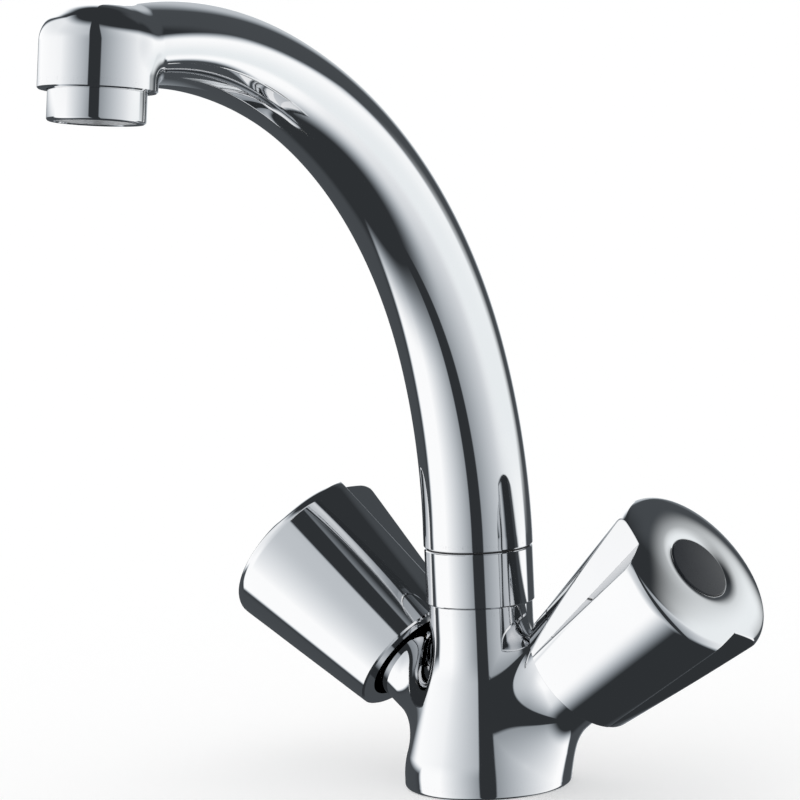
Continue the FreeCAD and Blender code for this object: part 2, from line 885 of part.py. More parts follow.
def build_valve(side, sign):
    turns = arm_turns(sign)
    seal = new_piece(f"{side}_seat_seal", arm_root, turns)
    turned(seal, "Seal", tube(size("seat_seal_bore"), size("disc_radius"),
                              size("pocket_floor"), seat_top()))
    fixed = new_piece(f"{side}_fixed_disc", arm_root, turns)
    turned(fixed, "Disc", tube(0, size("disc_radius"), seat_top(), fixed_disc_top()))
    drilled(fixed, "Port", size("disc_port_radius"), size("fixed_disc_thickness"),
            (size("disc_port_offset"), 0, seat_top()))
    rotating = new_piece(f"{side}_rotating_disc", arm_root, turns)
    bottom = fixed_disc_top() + size("disc_gap")
    turned(rotating, "Disc", tube(0, size("disc_radius") - size("rotating_disc_slack"),
                                  bottom, rotating_disc_top()))
    cut_box(rotating, "Notch", (size("disc_radius"), 2 * size("disc_port_radius"),
                                size("rotating_disc_thickness")),
            (-size("disc_radius") - size("disc_notch_offset"), -size("disc_port_radius"), bottom))
    build_bonnet(side, turns)
    build_spindle(side, turns)


def build_bonnet(side, turns):
    bonnet = new_piece(f"{side}_bonnet", arm_root, turns)
    outer = size("pocket_radius") - size("bonnet_clearance")
    bore = size("shaft_radius") + size("shaft_clearance")
    hex_bottom = size("arm_end")
    hex_top = hex_bottom + size("bonnet_hex_height")
    turned(bonnet, "Barrel", tube(0, outer, seat_top(), hex_bottom))
    extruded(bonnet, "HexHead", hexagon(size("bonnet_hex_flats")), hex_bottom,
             size("bonnet_hex_height"))
    neck = size("bonnet_neck_length")
    added_cylinder(bonnet, "Neck", size("bonnet_neck_radius"), neck, (0, 0, hex_top))
    drilled(bonnet, "DiscChamber", size("bonnet_bore_radius"), chamber_end() - seat_top(),
            (0, 0, seat_top()))
    drilled(bonnet, "ShaftBore", bore, hex_top + neck - chamber_end(), (0, 0, chamber_end()))
    width = size("bonnet_window_width")
    cut_box(bonnet, "Windows", (2 * outer, width, chamber_end() - fixed_disc_top()),
            (-outer, -width / 2, fixed_disc_top()))


def build_spindle(side, turns):
    spindle = new_piece(f"{side}_spindle", arm_root, turns)
    foot_bottom, foot = rotating_disc_top() + size("seat_gap"), size("foot_radius")
    shaft, groove = size("shaft_radius"), size("spindle_seal_groove")
    slack, neck = size("seal_clearance"), size("clip_groove_radius")
    seal_start = size("arm_end") - size("spindle_seal_inset_length")
    seal_end = seal_start + size("spindle_seal_width") + 2 * slack
    spline, spline_start = size("spline_radius"), clip_end() + size("spline_lead_length")
    turned(spindle, "Shaft",
           [(0, foot_bottom), (foot, foot_bottom), (foot, foot_top()),
            (shaft, foot_top()), (shaft, seal_start), (groove, seal_start), (groove, seal_end),
            (shaft, seal_end), (shaft, clip_start()), (neck, clip_start()),
            (neck, clip_end()), (shaft, clip_end()), (shaft, spline_start),
            (spline, spline_start), (spline, spline_end()), (0, spline_end())])
    drilled(spindle, "ScrewHole", size("screw_hole_radius"), size("screw_length"),
            (0, 0, spline_end() - size("screw_length")))
    seal = new_piece(f"{side}_spindle_oring", arm_root, turns)
    turned(seal, "Seal", tube(groove + size("seat_gap"), shaft,
                              seal_start + slack, seal_end - slack))
    clip = new_piece(f"{side}_clip", arm_root, turns)
    turned(clip, "Clip", tube(neck, size("clip_radius"), clip_start(), clip_end()))
    opening = size("clip_opening")
    cut_box(clip, "Mouth", (2 * size("clip_radius"), opening, size("clip_thickness")),
            (0, -opening / 2, clip_start()))


def handle_outline():
    """Cone with a rolled rim, a crowned cap that dips to the button's recess, and a bored skirt."""
    start, rim, top = handle_start(), handle_rim(), handle_top()
    edge, bevel = size("handle_edge"), size("handle_edge_bevel")
    dish_floor = top - size("dish_depth")
    recess_r = size("button_radius") + size("button_recess_clearance")
    return [(size("skirt_bore_radius"), start),
            (size("handle_inner_radius") - bevel, start),
            (size("handle_inner_radius"), start + bevel),
            (size("handle_rim_radius"), rim, edge),
            (size("handle_rim_radius") - edge, rim + edge),
            (size("dish_outer_radius"), top),
            (recess_r + size("dish_land_width"), dish_floor),
            (recess_r, dish_floor),
            (recess_r, recess_floor()),
            (0, recess_floor()),
            (0, skirt_end()),
            (size("skirt_bore_radius"), skirt_end())]


def groove_triangle(side_offset, depth):
    """V of one finger groove seen along the handle's axis, its apex nearest that axis."""
    reach = size("groove_reach")
    near, far = size("groove_near_angle"), size("groove_far_angle")
    return [(depth, side_offset),
            (depth + reach * cosine(near), side_offset - reach * sine(near)),
            (depth - reach * sine(far), side_offset + reach * cosine(far))]


def cut_grooves(handle):
    """Two mirrored finger grooves that deepen from the skirt to the cap."""
    start, end = handle_start(), handle_top() + size("groove_overrun_length")
    run = (end - start) / (handle_top() - start)
    sections = []
    for name, height, share in (("Inner", start, 0), ("Outer", end, run)):
        side_offset = size("groove_inner_side") + share * (
            size("groove_outer_side") - size("groove_inner_side"))
        depth = size("groove_inner_depth") + share * (
            size("groove_outer_depth") - size("groove_inner_depth"))
        sketch = new_sketch(handle, f"Groove{name}", "XY_Plane", (0, 0, height))
        draw_outline(sketch, groove_triangle(side_offset, depth))
        sketch.Visibility = False
        sections.append(sketch)
    doc.recompute()
    groove = handle.newObject("PartDesign::SubtractiveLoft", "FingerGroove")
    groove.Profile = sections[0]
    groove.Sections = [(sections[1], [""])]
    groove.Ruled = True
    doc.recompute()
    mirror = handle.newObject("PartDesign::Mirrored", "FingerGrooves")
    mirror.Originals = [groove]
    mirror.MirrorPlane = (origin_plane(handle, "XZ_Plane"), [""])
    handle.Tip = mirror
    doc.recompute()


def build_handle(side, sign):
    turns = arm_turns(sign)
    handle = new_piece(f"{side}_handle", arm_root, turns + [(Z_AXIS, size(f"{side}_groove_turn"))])
    turned(handle, "Knob", handle_outline())
    cut_grooves(handle)
    bottom, seat = skirt_end(), screw_seat()
    turned(handle, "HubCavity", tube(size("hub_radius"), size("hub_cavity_radius"),
                                     bottom, recess_floor() - size("cap_web_thickness")), cut=True)
    drilled(handle, "SplineSocket", size("spline_radius") + size("socket_clearance"),
            spline_end() + size("socket_end_gap") - bottom, (0, 0, bottom))
    drilled(handle, "ScrewHole", size("screw_hole_radius") + size("screw_shank_clearance"),
            seat - bottom, (0, 0, bottom))
    drilled(handle, "ScrewBore", size("screw_head_radius") + size("screw_bore_clearance"),
            recess_floor() - seat, (0, 0, seat))
    build_screw(side, turns)
    build_button(side, turns)


def build_screw(side, turns):
    screw = new_piece(f"{side}_screw", arm_root, turns)
    shank = size("screw_hole_radius") - size("screw_shank_clearance")
    head, seat, top = size("screw_head_radius"), screw_seat(), screw_head_top()
    end = seat - size("screw_length")
    turned(screw, "Screw", [(0, end), (shank, end), (shank, seat), (head, seat),
                            (head, top), (0, top)])
    extruded(screw, "Socket", hexagon(size("screw_socket_flats")), top,
             size("screw_socket_depth"), cut=True)


def build_button(side, turns):
    button = new_piece(f"{side}_button", arm_root, turns)
    floor_z = recess_floor() + size("seat_gap")
    rim_z = handle_top() - size("button_edge_depth")
    radius, dome = size("button_radius"), size("button_dome")
    crown = (radius * radius + dome * dome) / (2 * dome)
    stem = size("button_stem_radius")
    turned(button, "Button", [(0, floor_z - size("button_stem_length")),
                              (stem, floor_z - size("button_stem_length")), (stem, floor_z),
                              (radius, floor_z), (radius, rim_z, crown), (0, rim_z + dome)])


# ---- gasket and fastening under the deck ----

def build_gasket():
    gasket = new_piece("base_gasket")
    turned(gasket, "Gasket", tube(size("gasket_inner_radius"), size("gasket_outer_radius"),
                                  0, size("gasket_depth") - size("seat_gap")))


def horseshoe(name, bottom, thickness):
    """Washer open to the front for the stud, with room behind for the supplies."""
    washer = new_piece(name, (0, 0, -bottom))
    radius = size("deck_washer_radius")
    added_cylinder(washer, "Plate", radius, thickness, (0, 0, -thickness))
    web_end = size("stud_radius") + size("deck_washer_web_width") - size("stud_offset")
    cut_box(washer, "SupplyGap", (2 * radius, 2 * radius, thickness),
            (-radius, web_end, -thickness))
    drilled(washer, "StudHole", size("deck_slot_radius"), thickness,
            (0, -size("stud_offset"), -thickness))


def build_deck_fastening():
    stud_top = size("stud_hole_depth") - size("stud_end_gap")
    stud = new_piece("deck_stud", (0, -size("stud_offset"), stud_top))
    length, chamfer, radius = size("stud_length"), size("stud_chamfer"), size("stud_radius")
    turned(stud, "Stud", [(0, -length), (radius - chamfer, -length),
                          (radius, chamfer - length), (radius, 0), (0, 0)])
    rubber_z = size("deck_thickness")
    metal_z = rubber_z + size("deck_rubber_thickness")
    nut_z = metal_z + size("deck_washer_thickness")
    horseshoe("deck_rubber_washer", rubber_z, size("deck_rubber_thickness"))
    horseshoe("deck_metal_washer", metal_z, size("deck_washer_thickness"))
    nut = new_piece("deck_nut", (0, -size("stud_offset"), -nut_z - size("deck_nut_height")))
    extruded(nut, "Hex", hexagon(size("deck_nut_flats")), 0, size("deck_nut_height"))
    drilled(nut, "Bore", size("stud_radius") + size("stud_hole_clearance"), size("deck_nut_height"))


def check_and_export():
    for item in doc.Objects:
        if "Invalid" in item.State or "Error" in item.State:
            raise RuntimeError(f"{item.Label} failed: {item.State}")
    for node in nodes:
        if node.Shape.isNull() or not node.Shape.isValid():
            raise RuntimeError(f"{node.Label} has no valid shape")
    os.makedirs("parts", exist_ok=True)
    for node in nodes:
        node.Shape.exportStep(os.path.join("parts", f"{node.Label}.step"))
        print(node.Label, len(node.Shape.Solids), round(node.Shape.Volume, 1))


build_body()
build_spout()
build_spout_holders()
build_aerator()
for side, sign in SIDES.items():
    build_valve(side, sign)
    build_handle(side, sign)
build_gasket()
build_deck_fastening()
doc.recompute()
check_and_export()
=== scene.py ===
import json
import math
import bpy
import numpy as np
from mathutils import Matrix, Vector


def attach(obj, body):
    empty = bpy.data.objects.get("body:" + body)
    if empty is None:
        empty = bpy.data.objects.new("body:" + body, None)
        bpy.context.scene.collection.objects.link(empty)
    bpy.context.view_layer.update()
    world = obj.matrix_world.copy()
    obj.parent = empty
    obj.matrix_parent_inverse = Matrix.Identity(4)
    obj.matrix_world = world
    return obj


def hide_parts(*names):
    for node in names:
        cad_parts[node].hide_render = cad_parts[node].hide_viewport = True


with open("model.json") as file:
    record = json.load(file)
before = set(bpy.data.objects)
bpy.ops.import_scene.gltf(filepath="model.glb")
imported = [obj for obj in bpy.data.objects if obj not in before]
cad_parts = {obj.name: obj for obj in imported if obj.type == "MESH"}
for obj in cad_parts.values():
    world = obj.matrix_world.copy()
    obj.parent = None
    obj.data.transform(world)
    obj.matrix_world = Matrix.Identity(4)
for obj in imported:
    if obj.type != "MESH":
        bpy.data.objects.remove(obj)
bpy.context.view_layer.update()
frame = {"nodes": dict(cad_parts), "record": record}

MM = 0.001

# ---- sizes in millimetres, as the solids have them ----

BASE_RADIUS = 25.0
BASE_BAND = 3.0
BASE_EDGE = 1.0
GASKET_GROOVE_INNER = 20.5
GASKET_GROOVE_OUTER = 22.5
GASKET_GROOVE_DEPTH = 1.9
SHOULDER_RADIUS = 25.0
WAIST_ARC = 45.0
WAIST_HEIGHT = 46.0
NECK_RADIUS = 15.5
NECK_HEIGHT = 55.5
SPIGOT_RADIUS = 12.6
SPIGOT_TOP = 66.0
NECK_BORE = 10.5
NECK_BORE_FLOOR = 35.0
SKIN_LAP = 2.5
SEAM_CHAMFER = 0.3

ARM_RADIUS = 13.5
ARM_RISE = math.radians(38.5)
ARM_ROOT = np.array([0.0, 6.5, 10.4])
ARM_END = 46.5
ARM_INNER_END = 4.0
POCKET_RADIUS = 9.0
POCKET_FLOOR = 22.0

COLLAR_RADIUS = 16.15
COLLAR_TOP = 71.8
COLLAR_SLACK = 0.05
COLLAR_LIP_BORE = 11.0
COLLAR_LIP_HEIGHT = 2.6
SLIP_GAP = 0.6

SPOUT_SEAT = COLLAR_TOP + SLIP_GAP
SPOUT_RISE = 3.5
SPOUT_ROOT_RADIUS = 16.3
TAIL_RADIUS = 10.45
TAIL_BORE = 7.2
TAIL_FOOT = 42.0
FIRST_BEND = 170.9
FIRST_ANGLE = math.radians(18.83)
SECOND_BEND = 142.6
SECOND_ANGLE = math.radians(76.9)
SPOUT_TAPER = 0.0158
SPOUT_TAPER_GROWTH = 2.127e-5
SPOUT_LENGTH = 255.0
HEAD_DROP = 10.75
HEAD_TILT = math.radians(8.26)
HEAD_RADIUS = 15.8
HEAD_HEIGHT = 22.6
HEAD_EDGE = 8.0
HEAD_CROWN = 60.0
HEAD_LIP_EDGE = 0.4
HEAD_BORE = 12.05
HEAD_BORE_DEPTH = 7.5
LIP_RECESS_RADIUS = 13.3
LIP_RECESS_DEPTH = 2.2
AERATOR_RADIUS = 13.05
AERATOR_DROP = 8.26
AERATOR_SLACK = 0.05
AERATOR_BORE = 10.8
AERATOR_NECK = 12.0
AERATOR_TOP = 6.0
AERATOR_EDGE = 0.8
AERATOR_CHAMFER = 0.3

HANDLE_START = 39.8
HANDLE_INNER = 20.0
HANDLE_RIM = 89.0
HANDLE_RIM_RADIUS = 27.1
HANDLE_TOP = 93.3
SKIRT_BORE = 15.6
SKIRT_BEVEL = 0.5
SKIRT_TOP = 61.3
SHAFT_RADIUS = 4.0
RECESS_FLOOR = 90.5
GROOVE_TURN = {"hot": 77.0, "cold": -66.0}
SIDES = {"hot": -1, "cold": 1}

# ---- sizes in millimetres that follow the photograph more closely than the solids ----

ARM_FILLET = 9.3
HEAD_BLEND = 2.0
HEAD_SPREAD = 0.42
SPREAD_START = 160.0
SPREAD_END = 240.0
TUBE_STOP = -3.0
TUBE_STOP_ROUNDING = 8.0
RIM_ROUNDING = 2.2
CAP_CREST = 94.4
CAP_CURVE = 0.0177
DISH_START = 14.0
DISH_END = 10.2
DISH_DEPTH = 0.8
RECESS_RADIUS = 10.0
RECESS_EDGE = 0.1
BUTTON_RADIUS = 9.9
BUTTON_EDGE = 94.0
BUTTON_BEVEL = 0.25
BUTTON_DOME = 0.5
BUTTON_LIFT = 0.1


# ---- meshes ----

def mesh_piece(name, points, faces, body, material, normals=None):
    """Object from points in millimetres, riding on a body, smooth where normals are given."""
    mesh = bpy.data.meshes.new(name)
    mesh.from_pydata((np.asarray(points) * MM).tolist(), [], faces)
    mesh.polygons.foreach_set("use_smooth", [True] * len(mesh.polygons))
    mesh.update()
    if normals is not None:
        mesh.normals_split_custom_set_from_vertices(np.asarray(normals).tolist())
    mesh.materials.append(material)
    piece = bpy.data.objects.new(name, mesh)
    bpy.context.scene.collection.objects.link(piece)
    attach(piece, body)
    return piece


def grid_faces(rows, columns, closed=True, start=0):
    """Quads of a grid of points laid row after row; closed joins its last column to the first."""
    faces = []
    for i in range(rows - 1):
        for j in range(columns if closed else columns - 1):
            k = (j + 1) % columns
            faces.append((start + i * columns + j, start + i * columns + k,
                          start + (i + 1) * columns + k, start + (i + 1) * columns + j))
    return faces


def lathe(profile, segments=144):
    """Points and quads of a profile of (radius, height) turned about Z."""
    angles = np.linspace(0, 2 * math.pi, segments, endpoint=False)
    rows = [np.stack([r * np.cos(angles), r * np.sin(angles), np.full(segments, h)], axis=1)
            for r, h in profile]
    return np.concatenate(rows), grid_faces(len(profile), segments)


def arc_points(centre, radius, start, end, count):
    """Points of an arc in a profile, angles in degrees."""
    angles = np.radians(np.linspace(start, end, count))
    return [(centre[0] + radius * math.cos(a), centre[1] + radius * math.sin(a)) for a in angles]


CELL_CORNERS = [(i, j, k) for i in (0, 1) for j in (0, 1) for k in (0, 1)]


def at_corner(array, shift):
    """The array's values at one corner of every cell."""
    return array[tuple(slice(s, n - 1 + s) for s, n in zip(shift, array.shape))]


def net_crossings(value):
    """Sum of the places where each cell's edges cross the zero level, and their count."""
    total = np.zeros(tuple(n - 1 for n in value.shape) + (3,))
    hits = np.zeros(total.shape[:3])
    for a in CELL_CORNERS:
        for axis in range(3):
            if a[axis]:
                continue
            b = tuple(1 if n == axis else a[n] for n in range(3))
            va, vb = at_corner(value, a), at_corner(value, b)
            cross = (va < 0) != (vb < 0)
            share = np.where(cross, va / np.where(cross, va - vb, 1), 0)
            for n in range(3):
                total[..., n] += np.where(cross, a[n] + (share if n == axis else 0), 0)
            hits += cross
    return total, hits


def net_faces(inside, index):
    """One quad for each grid edge that crosses the surface, joining the four cells round it."""
    faces = []
    for axis in range(3):
        u, v = (axis + 1) % 3, (axis + 2) % 3
        lower = [slice(0, None)] * 3
        upper = [slice(0, None)] * 3
        lower[axis], upper[axis] = slice(0, -1), slice(1, None)
        flips = inside[tuple(lower)] != inside[tuple(upper)]
        for spot in np.argwhere(flips):
            if spot[u] == 0 or spot[v] == 0 or spot[u] >= index.shape[u] or spot[v] >= index.shape[v]:
                continue
            quad = []
            for du, dv in ((1, 0), (0, 0), (0, 1), (1, 1)):
                cell = spot.copy()
                cell[u] -= du
                cell[v] -= dv
                quad.append(int(index[tuple(cell)]))
            if inside[tuple(spot)]:
                quad.reverse()
            faces.append(tuple(quad))
    return faces


def surface_net(field, low, high, step):
    """Points and quads on the zero level of a distance field."""
    axes = [np.arange(a, b + step, step) for a, b in zip(low, high)]
    value = field(np.stack(np.meshgrid(*axes, indexing="ij"), axis=-1))
    inside = value < 0
    count = sum(at_corner(inside, shift).astype(int) for shift in CELL_CORNERS)
    mixed = (count > 0) & (count < len(CELL_CORNERS))
    index = np.full(mixed.shape, -1)
    index[mixed] = np.arange(mixed.sum())
    total, hits = net_crossings(value)
    points = np.array(low) + step * (np.argwhere(mixed) + total[mixed] / hits[mixed][:, None])
    return points, net_faces(inside, index)


def gradient(field, points, reach=0.02):
    """Slope of a field at points, from its change over a short reach each way."""
    slopes = []
    for axis in range(3):
        shift = np.zeros(3)
        shift[axis] = reach
        slopes.append((field(points + shift) - field(points - shift)) / (2 * reach))
    return np.stack(slopes, axis=-1)


def settle(field, points, rounds=5, stride=0.8):
    """Move points onto the field's zero level; also gives their outward normals."""
    points = points.copy()
    for _ in range(rounds):
        slope = gradient(field, points)
        size = np.maximum((slope ** 2).sum(axis=-1, keepdims=True), 1e-9)
        points -= np.clip(field(points)[..., None] * slope / size, -stride, stride)
    slope = gradient(field, points)
    return points, slope / np.maximum(np.linalg.norm(slope, axis=-1, keepdims=True), 1e-9)


def keep_where(points, faces, normals, keep):
    """Drop faces with a corner outside the mask, and the points they leave unused."""
    faces = [face for face in faces if all(keep[i] for i in face)]
    used = sorted({i for face in faces for i in face})
    lookup = {old: new for new, old in enumerate(used)}
    return (points[used], [tuple(lookup[i] for i in face) for face in faces], normals[used])


def round_union(distances, radius):
    """Union of distance fields with a rolled fillet of the given radius."""
    reach = [np.maximum(radius - d, 0) for d in distances]
    nearest = distances[0]
    for d in distances[1:]:
        nearest = np.minimum(nearest, d)
    return np.maximum(radius, nearest) - np.sqrt(sum(r * r for r in reach))


def round_cut(first, second, radius):
    """Intersection of two distance fields with a rounded outer edge."""
    a, b = np.maximum(first + radius, 0), np.maximum(second + radius, 0)
    return np.minimum(-radius, np.maximum(first, second)) + np.sqrt(a * a + b * b)


# ---- body casting ----

def tangent_slope():
    """Lean of the cone that runs tangent from the shoulder's arc into the waist's arc."""
    arcs = SHOULDER_RADIUS + WAIST_ARC
    rise = WAIST_HEIGHT - BASE_BAND
    spare = BASE_RADIUS - NECK_RADIUS - arcs
    return math.asin(arcs / math.hypot(rise, spare)) + math.atan(spare / rise)


CONE_SLOPE = tangent_slope()
CONE_TOP = WAIST_HEIGHT - WAIST_ARC * math.sin(CONE_SLOPE)


def casting_radius(z):
    """Outer radius and slope of the turned casting at a height."""
    shoulder_z = BASE_BAND + SHOULDER_RADIUS * math.sin(CONE_SLOPE)
    shoulder_r = BASE_RADIUS - SHOULDER_RADIUS * (1 - math.cos(CONE_SLOPE))
    in_arc = np.clip(z - BASE_BAND, 0, shoulder_z - BASE_BAND)
    arc = BASE_RADIUS - SHOULDER_RADIUS + np.sqrt(SHOULDER_RADIUS ** 2 - in_arc ** 2)
    cone = shoulder_r - (z - shoulder_z) * math.tan(CONE_SLOPE)
    under_waist = np.clip(WAIST_HEIGHT - z, 0, WAIST_HEIGHT - CONE_TOP)
    waist = NECK_RADIUS + WAIST_ARC - np.sqrt(WAIST_ARC ** 2 - under_waist ** 2)
    radius = np.where(z < shoulder_z, arc, np.where(z < CONE_TOP, cone, waist))
    slope = np.where(z < shoulder_z, np.arcsin(in_arc / SHOULDER_RADIUS),
                     np.where(z < CONE_TOP, CONE_SLOPE, np.arcsin(under_waist / WAIST_ARC)))
    return radius, slope


def arm_axis(sign):
    return np.array([sign * math.cos(ARM_RISE), 0.0, math.sin(ARM_RISE)])


def arm_distance(points, sign):
    """Distance from an arm's skin, and how far out along the arm."""
    away = points - ARM_ROOT
    along = away @ arm_axis(sign)
    off = away - along[..., None] * arm_axis(sign)
    return np.linalg.norm(off, axis=-1) - ARM_RADIUS, along


def arm_part(points, sign):
    """Field of one arm, shut off where it would come out at the casting's far side."""
    skin, along = arm_distance(points, sign)
    return skin + np.maximum(ARM_INNER_END - along, 0)


def body_field(points):
    radius, slope = casting_radius(points[..., 2])
    casting = (np.hypot(points[..., 0], points[..., 1]) - radius) * np.cos(slope)
    arms = [arm_part(points, sign) for sign in SIDES.values()]
    return round_union([casting] + arms, ARM_FILLET)


def arm_matrix(sign, turn=0.0):
    """Frame of an arm, its Z out along the arm, turned about it by degrees."""
    tilt = sign * (math.pi / 2 - ARM_RISE)
    return (Matrix.Translation(Vector(ARM_ROOT)) @ Matrix.Rotation(tilt, 4, "Y")
            @ Matrix.Rotation(math.radians(turn), 4, "Z"))


def moved(points, matrix):
    turn = np.array(matrix.to_3x3())
    return points @ turn.T + np.array(matrix.translation)


def joined(parts):
    """One set of points and faces from several."""
    points, faces, start = [], [], 0
    for some_points, some_faces in parts:
        points.append(some_points)
        faces += [tuple(i + start for i in face) for face in some_faces]
        start += len(some_points)
    return np.concatenate(points), faces


SHARP_ANGLE = math.radians(30)


def harden(piece):
    """Sharp shading across the turned corners of a lathed piece."""
    piece.data.set_sharp_from_angle(angle=SHARP_ANGLE)


BODY_STEP = 0.7
BODY_NET = ((-44.0, -29.0, BASE_BAND - 1.5), (44.0, 29.0, NECK_HEIGHT - 0.1))
SKIN_TRIM = 0.6
BAND_LAP = 1.2


def body_skin():
    """Points, quads and normals of the casting's outside, open at the base, neck and arms."""
    points, faces = surface_net(body_field, *BODY_NET, BODY_STEP)
    points, normals = settle(body_field, points)
    keep = (points[:, 2] > BASE_BAND - BAND_LAP) & (points[:, 2] < NECK_HEIGHT - SKIN_TRIM)
    for sign in SIDES.values():
        keep &= arm_distance(points, sign)[1] < ARM_END - SKIN_TRIM
    return keep_where(points, faces, normals, keep)


def foot_profile():
    """Underside with its gasket groove, and the base's band."""
    inner, outer, depth = GASKET_GROOVE_INNER, GASKET_GROOVE_OUTER, GASKET_GROOVE_DEPTH
    profile = [(0.0, 0.0), (inner, 0.0), (inner, depth), (outer, depth), (outer, 0.0)]
    profile += arc_points((BASE_RADIUS - BASE_EDGE, BASE_EDGE), BASE_EDGE, -90, 0, 7)
    return profile + [(BASE_RADIUS, BASE_BAND)]


def neck_profile():
    """Neck's shoulder, the spigot on it and the bore down the middle."""
    return [(NECK_RADIUS, NECK_HEIGHT - SKIN_LAP), (NECK_RADIUS, NECK_HEIGHT - SEAM_CHAMFER),
            (NECK_RADIUS - SEAM_CHAMFER, NECK_HEIGHT), (SPIGOT_RADIUS, NECK_HEIGHT),
            (SPIGOT_RADIUS, SPIGOT_TOP), (NECK_BORE, SPIGOT_TOP),
            (NECK_BORE, NECK_BORE_FLOOR), (0.0, NECK_BORE_FLOOR)]


def arm_end_profile():
    """End face of an arm and the pocket for its valve."""
    return [(ARM_RADIUS, ARM_END - SKIN_LAP), (ARM_RADIUS, ARM_END - SEAM_CHAMFER),
            (ARM_RADIUS - SEAM_CHAMFER, ARM_END), (POCKET_RADIUS, ARM_END),
            (POCKET_RADIUS, POCKET_FLOOR), (0.0, POCKET_FLOOR)]


def build_body(chrome):
    points, faces, normals = body_skin()
    skin = mesh_piece("body_skin", points, faces, "fixture", chrome, normals)
    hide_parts("body")
    parts = [lathe(foot_profile()), lathe(neck_profile())]
    for sign in SIDES.values():
        ring, ring_faces = lathe(arm_end_profile())
        parts.append((moved(ring, arm_matrix(sign)), ring_faces))
    points, faces = joined(parts)
    ends = mesh_piece("body_ends", points, faces, "fixture", chrome)
    harden(ends)
    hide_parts("body")


# ---- spout ----

def spout_centre(points):
    """Distance from the spout's centre line, and the length along it; near the head the tube
    spreads sideways to meet the head's full width."""
    y, z = points[..., 1], points[..., 2]
    start = SPOUT_SEAT + SPOUT_RISE
    first_y, first_z = -FIRST_BEND, start
    second_y = first_y + (FIRST_BEND - SECOND_BEND) * math.cos(FIRST_ANGLE)
    second_z = first_z + (FIRST_BEND - SECOND_BEND) * math.sin(FIRST_ANGLE)
    first_turn = np.arctan2(z - first_z, y - first_y)
    second_turn = np.arctan2(z - second_z, y - second_y)
    first_off = np.hypot(y - first_y, z - first_z) - FIRST_BEND
    second_off = np.hypot(y - second_y, z - second_z) - SECOND_BEND
    upright = z < start
    in_first = first_turn < FIRST_ANGLE
    off = np.where(upright, y, np.where(in_first, first_off, second_off))
    first_length = FIRST_BEND * FIRST_ANGLE
    along = np.where(upright, 0.0, np.where(in_first, FIRST_BEND * first_turn,
                     first_length + SECOND_BEND * (second_turn - FIRST_ANGLE)))
    spread = np.clip((along - SPREAD_START) / (SPREAD_END - SPREAD_START), 0, 1)
    widen = 1 + HEAD_SPREAD * spread * spread * (3 - 2 * spread)
    return np.hypot(points[..., 0] / widen, off), along


def spout_radius(along):
    return SPOUT_ROOT_RADIUS - SPOUT_TAPER * along - SPOUT_TAPER_GROWTH * along ** 2


def spout_end():
    """End of the spout's centre line."""
    turn = FIRST_ANGLE + SECOND_ANGLE
    step = FIRST_BEND - SECOND_BEND
    return np.array([0.0, -FIRST_BEND + step * math.cos(FIRST_ANGLE) + SECOND_BEND * math.cos(turn),
                     SPOUT_SEAT + SPOUT_RISE + step * math.sin(FIRST_ANGLE)
                     + SECOND_BEND * math.sin(turn)])


HEAD_AXIS = np.array([0.0, math.sin(HEAD_TILT), math.cos(HEAD_TILT)])
HEAD_FOOT = spout_end() - HEAD_DROP * HEAD_AXIS


def head_field(points):
    away = points - HEAD_FOOT
    height = away @ HEAD_AXIS
    radial = np.linalg.norm(away - height[..., None] * HEAD_AXIS, axis=-1)
    crown = HEAD_HEIGHT - radial ** 2 / (2 * HEAD_CROWN)
    return round_cut(radial - HEAD_RADIUS, height - crown, HEAD_EDGE)


def spout_field(points):
    radial, along = spout_centre(points)
    tube = radial - spout_radius(np.clip(along, 0, SPOUT_LENGTH))
    past_stop = HEAD_FOOT[1] + TUBE_STOP - points[..., 1]
    tube = round_cut(tube, past_stop, TUBE_STOP_ROUNDING)
    return round_union([tube, head_field(points)], HEAD_BLEND)


SPOUT_STEP = 0.8
SPOUT_NET = ((-18.0, -178.0, SPOUT_SEAT - 1.0), (18.0, 18.0, 241.0))
ROOT_TRIM = 0.4
LIP_TRIM = 0.5
ROOT_LAP = 2.0
NEAR_HEAD = 1.4 * HEAD_RADIUS


def spout_skin():
    """Points, quads and normals of the tube and head, open at the seat and at the head's lip."""
    points, faces = surface_net(spout_field, *SPOUT_NET, SPOUT_STEP)
    points, normals = settle(spout_field, points)
    above_lip = (points - HEAD_FOOT) @ HEAD_AXIS
    past_head = points[:, 1] > HEAD_FOOT[1] + NEAR_HEAD
    keep = (points[:, 2] > SPOUT_SEAT + ROOT_TRIM) & (past_head | (above_lip > LIP_TRIM))
    return keep_where(points, faces, normals, keep)


def seat_profile():
    """Tail in the neck and the shoulder that turns on the collar."""
    root = SPOUT_ROOT_RADIUS
    return [(TAIL_BORE, TAIL_FOOT), (TAIL_RADIUS, TAIL_FOOT), (TAIL_RADIUS, SPOUT_SEAT),
            (root - SEAM_CHAMFER, SPOUT_SEAT), (root, SPOUT_SEAT + SEAM_CHAMFER),
            (root, SPOUT_SEAT + ROOT_LAP)]


def lip_profile():
    """Head's lip, with the recess that takes the aerator ring."""
    return [(HEAD_BORE, HEAD_BORE_DEPTH), (HEAD_BORE, LIP_RECESS_DEPTH),
            (LIP_RECESS_RADIUS, LIP_RECESS_DEPTH), (LIP_RECESS_RADIUS, 0.0),
            (HEAD_RADIUS - HEAD_LIP_EDGE, 0.0), (HEAD_RADIUS, HEAD_LIP_EDGE),
            (HEAD_RADIUS, SKIN_LAP)]


